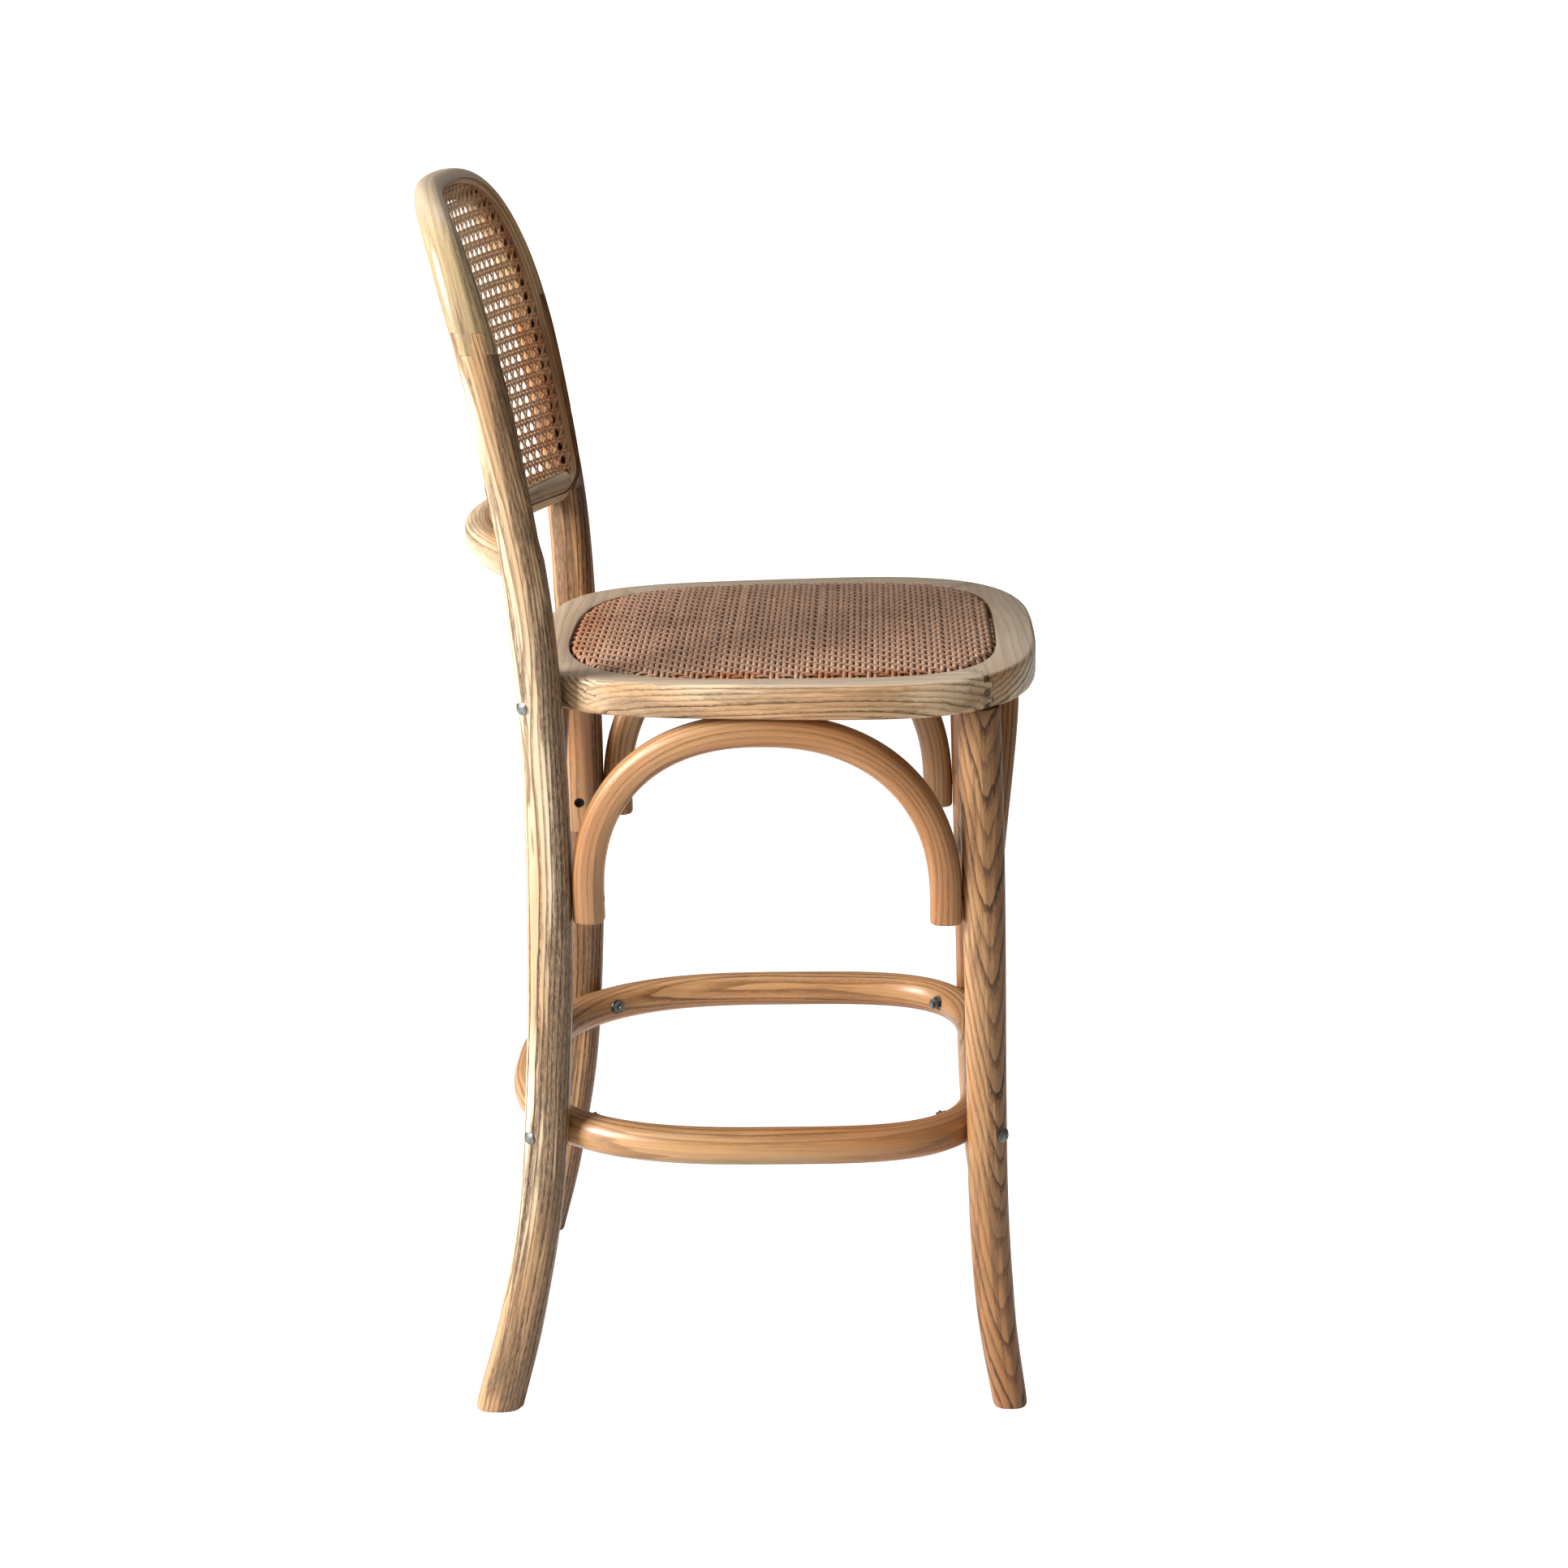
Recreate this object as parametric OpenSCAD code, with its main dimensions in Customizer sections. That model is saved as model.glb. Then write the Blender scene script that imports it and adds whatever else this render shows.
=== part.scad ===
// Bentwood bar stool with a cane back, a woven rattan seat and a hoop footrest.
// The origin is on the floor, on the plane of symmetry, under the middle of the stool.
// +Z is up, -Y is the front and -X is the side to the sitter's right.

/* [Seat] */
// Width of the seat frame
seat_w = 413; // [360:1:500]
// Depth of the seat frame, front edge to rear edge
seat_d = 436; // [380:1:530]
// Height of the seat frame's top face above the floor
seat_h = 660; // [560:1:800]
// Thickness of the seat frame
seat_t = 30; // [24:1:40]
// Distance from the origin to the front edge of the seat
seat_front = 262; // [220:1:320]
// Width of the wooden frame at the sides of the woven seat
frame_band = 27; // [22:1:40]
// Width of the frame at the front edge, in front of the woven seat
front_band = 35; // [28:1:50]
// Width of the frame at the rear edge, behind the woven seat
rear_band = 28; // [22:1:45]
// Height of the woven seat's crown above the frame
seat_crown = 7; // [2:1:20]

/* [Legs] */
// Thickness of the front leg at the seat, front to back
front_leg_top = 37; // [30:1:44]
// Thickness of the front leg at the foot, front to back
front_leg_foot = 30; // [24:1:40]
// Thickness of the front leg, side to side
front_leg_w = 33; // [26:1:40]
// Thickness of the rear leg below the seat, front to back
rear_leg_d = 38.5; // [30:0.5:46]
// Thickness of the rear leg, side to side
rear_leg_w = 33; // [26:1:40]
// How far the front feet stand outside the tops of the front legs
front_splay = 26; // [0:1:60]
// How far the rear feet stand behind the rear legs at seat height
rear_kick = 59; // [30:1:110]

/* [Back] */
// Height of the top of the back above the seat
back_rise = 402; // [370:1:480]
// Half the width of the back between the centre lines of its posts
back_half_w = 184.5; // [150:0.5:220]
// How far the top of the back stands behind the posts at seat height
back_lean = 60; // [20:1:120]
// Thickness of the back's posts, front to back
post_d = 36; // [28:1:42]
// Thickness of the middle of the bent top bow, front to back
bow_d = 24; // [20:1:36]
// Thickness of the posts and the bow in the plane of the back
bow_w = 29; // [22:1:36]
// How far the top bow curves back between its corners
bow_sag = 30; // [0:1:50]
// How far the lower back rail curves back between the posts
rail_sag = 56; // [0:1:80]
// Height of the lower back rail's middle above the seat
rail_above_seat = 98; // [70:1:180]
// Height of the lower back rail's section
rail_h = 27; // [24:1:44]
// Thickness of the lower back rail's section
rail_t = 27; // [20:1:34]
// Thickness of the cane panel
cane_t = 2.4; // [1.6:0.2:4]

/* [Footrest] */
// Height of the footrest hoop's middle above the floor
ring_h = 249; // [180:1:330]
// Diameter of the footrest hoop's rod
ring_dia = 32.4; // [26:0.2:38]
// How far the hoop bulges sideways past the centres of the front legs
ring_bulge = 22; // [10:1:40]
// How far the hoop bulges behind the centres of the rear legs
ring_rear_bulge = 28; // [10:1:50]
// How far the hoop's front run stands in front of its front corners
ring_front_bulge = 23; // [10:1:40]

/* [Arches] */
// Thickness of the four bent arches under the seat
arch_t = 27; // [22:1:32]
// Height of the side arches' ends above the floor
side_arch_end = 443; // [380:1:520]
// Height of the front arch's ends above the floor
front_arch_end = 430; // [370:1:520]
// Height of the rear arch's ends above the floor
rear_arch_end = 436; // [370:1:520]
// How far the side arches bow outwards under the seat
side_arch_bow = 18; // [0:1:24]

/* [Fasteners] */
// Diameter of the carriage bolts
bolt_dia = 6; // [5:1:8]
// Diameter of a carriage bolt's domed head
bolt_head_dia = 14; // [11:1:18]
// Width of a hex nut across its flats
nut_flats = 10; // [8:1:13]
// Diameter of the arch screws
screw_dia = 4; // [3:0.5:5]
// Diameter of the counterbores that sink the arch screws' heads
screw_sink_dia = 9.6; // [8:0.2:12]
// Clearance between mating pieces
gap = 0.1; // [0.05:0.05:0.3]

/* [Hidden] */

// Number of facets round a leg, an arch and the footrest rod
leg_sides = 14;
arch_sides = 12;
ring_sides = 12;
// Squareness of the rounded wood sections: 2 is an ellipse
leg_round = 2.7;
arch_round = 2.7;
rail_round = 2.6;

// Levels
back_h = seat_h + back_rise;
seat_under = seat_h - seat_t;
layer_h = seat_t / 5;
ledge_w = 22;
board_t = 12;
board_z = seat_under + layer_h;
rail_z = seat_h + rail_above_seat;
joint_z = seat_h + 283;
joint_finger = 11;
round_z = back_h - 236;
top_z = back_h - bow_w / 2;

// Plan positions of the seat and of the legs, which all follow the seat
seat_rear = seat_d - seat_front;
seat_mid_y = (seat_rear - seat_front) / 2;
seat_taper = 0.09;
seat_front_n = 3.1;
seat_rear_n = 4.1;
open_w = seat_w - 2 * frame_band;
open_front = front_band - seat_front;
open_rear = seat_rear - rear_band;
rear_post = [seat_w / 2 - 41.5, seat_rear - 13.5];
front_top = [seat_w / 2 - 42.5, 54 - seat_front];

// Centre lines: the foot, the footrest, below the seat, the seat and the back, in plan offsets
rear_line = [
    [25, rear_kick, 0], [20.5, 0.62 * rear_kick, 80 / 660 * seat_h],
    [12, 0.26 * rear_kick, 190 / 660 * seat_h], [4.5, 0.07 * rear_kick, 320 / 660 * seat_h],
    [-2, -1, 440 / 660 * seat_h], [-1.5, -2.6, 540 / 660 * seat_h], [5, 0, seat_h - 6],
    [14, 0.072 * back_lean, seat_h + 75], [back_half_w - rear_post.x - 1, 0.238 * back_lean, seat_h + 155],
    [back_half_w - rear_post.x, 0.492 * back_lean, seat_h + 245],
    [back_half_w - rear_post.x, back_lean, top_z]
];
front_line = [
    [front_splay, -25.5, 0], [20, -14, 80 / 660 * seat_h], [14.5, -7.5, 180 / 660 * seat_h],
    [11, -5.6, 300 / 660 * seat_h], [8, -4.2, 440 / 660 * seat_h], [3, -2, 560 / 660 * seat_h],
    [0, 0, seat_under]
];

// Footrest
ring_r = ring_dia / 2;
ring_flat = 1.7;

// Fasteners
head_r = bolt_head_dia / 2;
head_dome = 3;
bolt_r = bolt_dia / 2;
nut_h = 5;
washer_r = 6.5;
washer_t = 1.2;

// ---- Curves ----
function sgn_pow(v, e) = sign(v) * pow(abs(v), e);
function unit(v) = v / norm(v);

// Height-driven smooth curve through hand-set points, which rise in z
function slope(pts, i, k) =
    i <= 0 ? (pts[1][k] - pts[0][k]) / (pts[1].z - pts[0].z)
    : i >= len(pts) - 1 ? (pts[i][k] - pts[i - 1][k]) / (pts[i].z - pts[i - 1].z)
    : (pts[i + 1][k] - pts[i - 1][k]) / (pts[i + 1].z - pts[i - 1].z);
function span_at(pts, z, i = 0) = (i >= len(pts) - 2 || z < pts[i + 1].z) ? i : span_at(pts, z, i + 1);
function line_at(pts, z, k) =
    let(i = span_at(pts, z), h = pts[i + 1].z - pts[i].z, t = (z - pts[i].z) / h)
    (2 * t * t * t - 3 * t * t + 1) * pts[i][k] + (t * t * t - 2 * t * t + t) * h * slope(pts, i, k)
    + (3 * t * t - 2 * t * t * t) * pts[i + 1][k] + (t * t * t - t * t) * h * slope(pts, i + 1, k);
function rear_at(z) = [rear_post.x + line_at(rear_line, z, 0), rear_post.y + line_at(rear_line, z, 1), z];
function front_at(z) = [front_top.x + line_at(front_line, z, 0), front_top.y + line_at(front_line, z, 1), z];

// Rounded outline: a superellipse with its own roundness at the front and the rear, and a taper
function outline(w, front, rear, front_n, rear_n, taper, count) = [
    for (i = [0 : count - 1])
        let(a = 360 * i / count, n = cos(a) > 0 ? front_n : rear_n, t = -sgn_pow(cos(a), 2 / n))
        [w / 2 * sgn_pow(sin(a), 2 / n) * (1 - taper * t), (rear + front) / 2 + (rear - front) / 2 * t]
];
function seat_outline() = outline(seat_w - 3, -seat_front, seat_rear, seat_front_n, seat_rear_n, seat_taper, 72);
function open_outline(inset) =
    outline(open_w - 2 * inset, open_front + inset, open_rear - inset, 3.9, 3.1, 0.02, 60);

// The back's curved surface: it leans with the posts and curves back between them
function sag_at(z) =
    bow_sag + (rail_sag - bow_sag) * min(1, max(0, (top_z - z) / (top_z - rail_z)));
function back_y(x, z) = rear_at(z).y + sag_at(z) * (1 - pow(min(1, abs(x) / rear_at(min(z, round_z)).x), 1.8));
// The hoop's rounded top in elevation is a superellipse above round_z, inset from its centre line
hoop_n = 4;
function hoop_half(z, inset) =
    z <= round_z ? rear_at(z).x - inset
    : (back_half_w - inset) * pow(max(0, 1 - pow((z - round_z) / (top_z - inset - round_z), hoop_n)), 1 / hoop_n);
function hoop_at(a, inset) =
    let(w = back_half_w - inset, h = top_z - inset - round_z,
        r = pow(pow(abs(cos(a)) / w, hoop_n) + pow(abs(sin(a)) / h, hoop_n), -1 / hoop_n))
    [r * cos(a), round_z + r * sin(a)];
function on_back(p, forward) = [p.x, back_y(p.x, p.y) - forward, p.y];
// Section of the posts and bow: the bow thins towards its middle
function bow_size(z) = let(up = pow(min(1, max(0, (z - round_z) / (top_z - round_z))), hoop_n))
    [bow_w - 1.4 * up, post_d + (bow_d - post_d) * up];

// Rounded section with n sides
function section(w, h, e, n) =
    [for (i = [0 : n - 1]) let(a = 360 * (i + 0.5) / n)
        [w / 2 * sgn_pow(cos(a), 2 / e), h / 2 * sgn_pow(sin(a), 2 / e)]];

// ---- Sweeps ----
// Rings of points: sizes[i] is the section's [width along the side vector, thickness across it]
function tangent(path, i, closed) =
    let(n = len(path), a = closed ? (i + n - 1) % n : max(0, i - 1), b = closed ? (i + 1) % n : min(n - 1, i + 1))
    unit(path[b] - path[a]);
module sweep(path, sizes, across, e, n, closed = false, ends = undef) {
    rings = len(path);
    points = [
        for (i = [0 : rings - 1])
            let(
                end_t = (!closed && ends != undef && (i == 0 || i == rings - 1)) ? (i == 0 ? ends[0] : ends[1]) : undef,
                t = end_t == undef ? tangent(path, i, closed) : end_t,
                u = unit(cross(cross(t, across), t)),
                v = cross(t, u),
                s = section(sizes[i][0], sizes[i][1], e, n)
            )
            for (p = s) path[i] + p.x * u + p.y * v
    ];
    last = closed ? rings - 1 : rings - 2;
    walls = [
        for (i = [0 : last]) for (j = [0 : n - 1])
            let(a = i * n + j, b = i * n + (j + 1) % n, c = ((i + 1) % rings) * n + j, d = ((i + 1) % rings) * n + (j + 1) % n)
            each [[a, c, b], [b, c, d]]
    ];
    caps = closed ? [] : [
        [for (j = [0 : n - 1]) j],
        [for (j = [n - 1 : -1 : 0]) (rings - 1) * n + j]
    ];
    polyhedron(points, concat(caps, walls));
}
module both_sides() {
    children();
    mirror([1, 0, 0]) children();
}

// ---- Bolt lines ----
// The footrest bolts run level and diagonally from the hoop's corners out through the legs
bolt_slant = 50;
function diag(front) = [cos(bolt_slant), (front ? -1 : 1) * sin(bolt_slant), 0];
leg_flat_r = 17.3;
function corner_post(front) = front ? front_at(ring_h + 3) : rear_at(ring_h + 3);
function corner_face(front) = corner_post(front) - leg_flat_r * diag(front);
function corner_ring(front) = corner_face(front) - (ring_r - ring_flat) * diag(front);

// The hoop's roundness, solved so that it passes through its bolted corners
ring_half_w = front_at(ring_h).x + ring_bulge;
ring_front = corner_ring(true).y - ring_front_bulge;
ring_rear = rear_at(ring_h).y + ring_rear_bulge;
ring_mid_y = (ring_front + ring_rear) / 2 - 12;
function solve_n(a, b, lo = 1.6, hi = 9, i = 0) =
    let(m = (lo + hi) / 2)
    i > 30 ? m : (pow(a, m) + pow(b, m) > 1 ? solve_n(a, b, m, hi, i + 1) : solve_n(a, b, lo, m, i + 1));
function corner_n(front) =
    let(c = corner_ring(front), reach = front ? ring_mid_y - ring_front : ring_rear - ring_mid_y)
    solve_n(c.x / ring_half_w, abs(c.y - ring_mid_y) / reach);
ring_front_n = corner_n(true);
ring_rear_n = corner_n(false);
function ring_path(count) = [
    for (i = [0 : count - 1])
        let(
            a = 360 * i / count, n = cos(a) > 0 ? ring_front_n : ring_rear_n,
            reach = cos(a) > 0 ? ring_mid_y - ring_front : ring_rear - ring_mid_y
        )
        [ring_half_w * sgn_pow(sin(a), 2 / n), ring_mid_y - reach * sgn_pow(cos(a), 2 / n), ring_h]
];

// Places its children on a diagonal bolt line, with +Z along the bolt towards the head
module on_diag(front, from) {
    d = diag(front);
    translate(from) rotate([0, 0, atan2(d.y, d.x)]) rotate([0, 90, 0]) children();
}
module at_ring_bolts() {
    both_sides() for (front = [true, false]) on_diag(front, corner_face(front)) children();
}
seat_bolt_z = seat_h - seat_t * 0.76;
function seat_bolt_post() = rear_at(seat_bolt_z);
function seat_face() = seat_bolt_post() - leg_flat_r * diag(false);
module at_seat_bolts() {
    both_sides() on_diag(false, seat_face()) children();
}
seat_bolt_in = 34;
bolt_out = 2 * leg_flat_r + 0.8;

// A block that trims everything beyond a plane through the bolt line's origin
module trim_beyond(reach) {
    translate([-reach, -reach, 0]) cube([2 * reach, 2 * reach, reach]);
}
module trim_within() {
    translate([-30, -30, -60]) cube([60, 60, 60]);
}

// ---- Legs and posts ----
function rear_size(z) = let(
        foot = max(0, 1 - z / 130), back = min(1, max(0, (z - seat_h) / 120)))
    [rear_leg_w + 3 * foot + back * (bow_w - rear_leg_w), rear_leg_d + 3 * foot + back * (bow_size(z)[1] - rear_leg_d)];
function front_size(z) = let(
        foot = max(0, 1 - z / 110), up = min(1, max(0, (z - 0.45 * seat_h) / (0.3 * seat_h))),
        mid = 34.5)
    [front_leg_w, mid + foot * (front_leg_foot - mid) + up * (front_leg_top - mid)];
rear_steps = 24;
rear_heights = [for (i = [0 : rear_steps]) (joint_z + joint_finger) * i / rear_steps];
rear_path = [for (z = rear_heights) z <= round_z ? rear_at(z) : on_back([hoop_half(z, 0), z], 0)];
front_steps = 13;
front_heights = [for (i = [0 : front_steps]) seat_under * i / front_steps];

module rear_leg_shape() {
    sweep(rear_path, [for (z = rear_heights) rear_size(z)],
        [1, 0, 0], leg_round, leg_sides, ends = [[0, 0, 1], [0, 0, 1]]);
}
module front_leg_shape() {
    sweep([for (z = front_heights) front_at(z)], [for (z = front_heights) front_size(z)],
        [1, 0, 0], leg_round, leg_sides, ends = [[0, 0, 1], [0, 0, 1]]);
}
tenon_r = 10.5;
tenon_h = seat_t - 2 * layer_h;
module rear_leg() {
    color("burlywood") difference() {
        rear_leg_shape();
        on_diag(false, corner_face(false)) trim_within();
        on_diag(false, seat_face()) trim_within();
        on_diag(false, corner_face(false)) translate([0, 0, -5]) cylinder(r = bolt_r + gap, h = 60, $fn = 24);
        on_diag(false, seat_face()) translate([0, 0, -5]) cylinder(r = bolt_r + gap, h = 60, $fn = 24);
        rear_screw_holes(0);
        rail_dowel(gap);
        joint_zone(0);
        cane_rebate();
    }
}
module front_leg() {
    color("burlywood") {
        difference() {
            front_leg_shape();
            on_diag(true, corner_face(true)) trim_within();
            on_diag(true, corner_face(true)) translate([0, 0, -5]) cylinder(r = bolt_r + gap, h = 60, $fn = 24);
            front_screw_holes(0);
        }
        translate([front_top.x, front_top.y, seat_under - 2]) cylinder(r = tenon_r, h = tenon_h + 2, $fn = 32);
    }
}
module rear_leg_left() { rear_leg(); }
module rear_leg_right() { mirror([1, 0, 0]) rear_leg(); }
module front_leg_left() { front_leg(); }
module front_leg_right() { mirror([1, 0, 0]) front_leg(); }

// ---- Back ----
// Each post meets the bow in a joint of four interlocking fingers, stacked from front to back
joint_layers = 4;
module joint_zone(lift) {
    c = on_back([hoop_half(joint_z, 0), joint_z], 0);
    t = (post_d + 8) / joint_layers;
    for (i = [0 : joint_layers - 1])
        translate([c.x - 40, c.y - (post_d + 8) / 2 + i * t, joint_z + lift + (i % 2 == 0 ? -1 : 1) * joint_finger * 0.8])
            cube([80, t, 4 * joint_finger]);
}
joint_low = joint_z - joint_finger;
bow_start = atan2(joint_low - round_z, hoop_half(joint_low, 0));
bow_count = 36;
module top_bow() {
    path = [for (i = [0 : bow_count]) on_back(hoop_at(bow_start + (180 - 2 * bow_start) * i / bow_count, 0), 0)];
    color("wheat") difference() {
        intersection() {
            sweep(path, [for (p = path) [bow_size(p.z)[1], bow_size(p.z)[0]]], [0, 1, 0], leg_round, leg_sides,
                ends = [[0, 0, 1], [0, 0, -1]]);
            union() {
                both_sides() joint_zone(gap);
                translate([-seat_w, 0, joint_z + 2 * joint_finger]) cube([2 * seat_w, seat_d, back_h]);
            }
        }
        cane_rebate();
    }
}
rail_reach = rear_at(rail_z).x - rear_size(rail_z)[0] / 2 - gap;
rail_count = 16;
rail_dip = 4;
module back_rail() {
    path = [for (i = [0 : rail_count])
        let(s = 2 * i / rail_count - 1) on_back([rail_reach * s, rail_z], 0) - [0, 0, rail_dip * (1 - s * s)]];
    color("burlywood") difference() {
        sweep(path, [for (p = path) [rail_h, rail_t]], [0, 0, 1], rail_round, 12, ends = [[1, 0, 0], [1, 0, 0]]);
        both_sides() rail_dowel(gap);
        cane_rebate();
    }
}
module rail_dowel(extra) {
    y = back_y(rail_reach, rail_z) + 2;
    translate([rail_reach - 22, y, rail_z]) rotate([0, 90, 0]) cylinder(r = 4 + extra, h = 33 + extra, $fn = 24);
}
module rail_dowels() { color("tan") both_sides() rail_dowel(0); }

// The bent inner frame that holds the cane, let into the front of the posts, bow and rail
cane_frame_w = 5;
cane_frame_d = 9;
cane_out = 3.2;
cane_low = rail_z - 2;
cane_corner = 30;
// Distance from the back's middle surface to the frame's front edge
function cane_front(z) = let(t = min(1, max(0, (z - rail_z) / (top_z - rail_z)))) 13.5 - 3 * t;
// The frame's line in elevation, inset from its centre line
function cane_loop(inset, corner_step, count) =
    let(
        r = cane_corner - inset, low = cane_low + inset, side_z = low + r, w = hoop_half(side_z, inset - cane_out),
        base = [for (i = [-3 : 3]) [i / 4 * (w - r), low]],
        corner = [for (a = [90 : -corner_step : corner_step / 2]) [w - r + r * cos(a), side_z - r * sin(a)]],
        side = [for (i = [0 : 3]) let(z = side_z + (round_z - side_z) * i / 4) [hoop_half(z, inset - cane_out), z]],
        top = [for (i = [0 : count]) hoop_at(90 * i / count, inset - cane_out)],
        half = concat(corner, side, top), n = len(half)
    )
    concat(base, half, [for (i = [n - 2 : -1 : 0]) [-half[i].x, half[i].y]]);
module cane_frame() {
    path = [for (p = cane_loop(0, 18, 10)) on_back(p, cane_front(p.y) - cane_frame_d / 2)];
    color("peru") sweep(path, [for (p = path) [cane_frame_d, cane_frame_w]], [0, 1, 0], 3, 8, closed = true);
}
// The space cut for the frame and the cane's edge: a wide band from the frame's outside inwards
rebate_w = 24;
module cane_rebate() {
    inset = rebate_w / 2 - cane_frame_w / 2 - 0.3;
    path = [for (p = cane_loop(inset, 18, 10)) on_back(p, cane_front(p.y) - cane_frame_d - 0.3 + 20)];
    sweep(path, [for (p = path) [40, rebate_w]], [0, 1, 0], 40, 4, closed = true);
}
cane_back = 5;
module back_cane_panel() {
    inset = cane_frame_w / 2 + 0.4;
    low = cane_low + inset;
    high = top_z + cane_out - inset - 1.5;
    rows = 18;
    cols = 12;
    r = cane_corner - inset;
    zs = [for (j = [0 : rows]) low + (high - low) * (1 - pow(1 - j / rows, 1.35))];
    front = [for (z = zs) for (i = [0 : cols])
        let(
            half = hoop_half(z, inset - cane_out) - (z < low + r ? r - sqrt(max(0, r * r - pow(low + r - z, 2))) : 0),
            x = (half - 0.4) * (2 * i / cols - 1)
        )
        on_back([x, z], cane_front(z) - cane_back)];
    rear = [for (p = front) p + [0, cane_t, 0]];
    m = len(front);
    w = cols + 1;
    faces = [for (j = [0 : rows - 1]) for (i = [0 : cols - 1])
        let(a = j * w + i, b = a + 1, c = a + w, d = c + 1)
        each [[a, c, b], [b, c, d], [m + a, m + b, m + c], [m + b, m + d, m + c]]];
    sides = [for (j = [0 : rows - 1]) for (i = [0, cols])
        let(a = j * w + i, c = a + w)
        each (i == 0 ? [[a, m + a, c], [c, m + a, m + c]] : [[a, c, m + a], [c, m + c, m + a]])];
    ends = [for (i = [0 : cols - 1]) for (j = [0, rows])
        let(a = j * w + i, b = a + 1)
        each (j == 0 ? [[a, b, m + a], [b, m + b, m + a]] : [[a, m + a, b], [b, m + a, m + b]])];
    color("sienna") polyhedron(concat(front, rear), concat(faces, sides, ends));
}

// ---- Seat ----
finger = 7;
function joint_angle(k, up) = // Plan angle of a corner joint, from +X anticlockwise, fingers alternating
    let(corners = [-44, 42, 138, 224], reach = 240) corners[k] + (up ? 1 : -1) * (k % 2 == 0 ? 1 : -1) * finger / reach * 57.3;
module wedge(k, up) {
    a = joint_angle(k, up);
    b = joint_angle((k + 1) % 4, up) + (k == 3 ? 360 : 0);
    r = 2 * seat_w;
    translate([0, seat_mid_y])
        polygon([[0, 0], r * [cos(a), sin(a)], r * [cos((a + b) / 2), sin((a + b) / 2)] * 1.5, r * [cos(b), sin(b)]]);
}
module seat_rail(k) {
    color("burlywood") difference() {
        union() for (i = [0 : 4])
            translate([0, 0, seat_under + i * layer_h]) linear_extrude(height = layer_h) intersection() {
                difference() {
                    polygon(seat_outline());
                    polygon(open_outline(i == 0 ? ledge_w : 0));
                }
                wedge(k, i % 2 == 0);
            }
        at_seat_bolts() translate([0, 0, -gap]) trim_beyond(70);
        at_seat_bolts() translate([0, 0, -80]) cylinder(r = bolt_r + gap, h = 90, $fn = 24);
        at_seat_bolts() translate([0, 0, -80 - seat_bolt_in + 8]) cylinder(r = 8.5, h = 80, $fn = 24);
        both_sides() translate([front_top.x, front_top.y, seat_under - 1])
            cylinder(r = tenon_r + gap, h = tenon_h + 1 + gap, $fn = 32);
        arch_top_screw_set(0);
    }
}
module seat_front_rail() { seat_rail(3); }
module seat_left_rail() { seat_rail(0); }
module seat_rear_rail() { seat_rail(1); }
module seat_right_rail() { seat_rail(2); }
module seat_board() {
    color("tan") translate([0, 0, board_z + gap / 2]) linear_extrude(height = board_t) polygon(open_outline(1));
}
// A crowned solid that fills the seat opening from height z0, its edge rounding down
function crown_rings(inset, z0, edge, crown) = [
    for (k = [[0, z0], [0, edge - 5], [1.6, edge - 1.6], [5, edge], [28, edge + 0.45 * crown], [75, edge + 0.85 * crown]])
        [open_outline(inset + k[0]), k[1]]
];
module crown_solid(inset, z0, edge, crown) {
    rings = crown_rings(inset, z0, edge, crown);
    n = len(rings[0][0]);
    m = len(rings);
    points = concat(
        [for (r = rings) for (p = r[0]) [p.x, p.y, r[1]]],
        [[0, (open_front + open_rear) / 2, edge + crown]]);
    walls = [for (i = [0 : m - 2]) for (j = [0 : n - 1])
        let(a = i * n + j, b = i * n + (j + 1) % n, c = a + n, d = b + n)
        each [[a, c, b], [b, c, d]]];
    top = [for (j = [0 : n - 1]) [(m - 1) * n + j, m * n, (m - 1) * n + (j + 1) % n]];
    polyhedron(points, concat([[for (j = [0 : n - 1]) j]], walls, top));
}
rattan_t = 2.5;
foam_z = board_z + board_t + gap;
module seat_foam() {
    color("linen") crown_solid(2 + rattan_t, foam_z, seat_h - rattan_t, seat_crown - 0.5);
}
module seat_rattan() {
    color("saddlebrown") difference() {
        crown_solid(2, foam_z, seat_h, seat_crown);
        translate([0, 0, 0.1]) crown_solid(2 + rattan_t - 0.15, foam_z - 3, seat_h - rattan_t, seat_crown - 0.5);
    }
}

// ---- Footrest ----
module footrest_ring() {
    path = ring_path(64);
    color("burlywood") difference() {
        sweep(path, [for (p = path) [ring_dia, ring_dia]], [0, 0, 1], 2, ring_sides, closed = true);
        at_ring_bolts() translate([0, 0, -gap]) trim_beyond(35);
        at_ring_bolts() translate([0, 0, -60]) cylinder(r = bolt_r + gap, h = 70, $fn = 24);
        at_ring_bolts() translate([0, 0, -ring_dia + ring_flat - 24.8]) cylinder(r = washer_r + 1, h = 26, $fn = 24);
    }
}

// ---- Arches ----
// Elevation of an arch: x along the span from -1 to 1, height from its ends to the seat's underside
function arch_curve(half, low, count) =
    let(top = seat_under - gap - arch_t / 2, rise = min(half, top - low - 12), spring = top - rise)
    concat(
        [[-half, low], [-half, (low + spring) / 2]],
        [for (i = [0 : count]) let(a = 180 - 180 * i / count)
            [half * sgn_pow(cos(a), 2 / 2.25), spring + rise * sgn_pow(sin(a), 2 / 2.25)]],
        [[half, (low + spring) / 2], [half, low]]);
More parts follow.
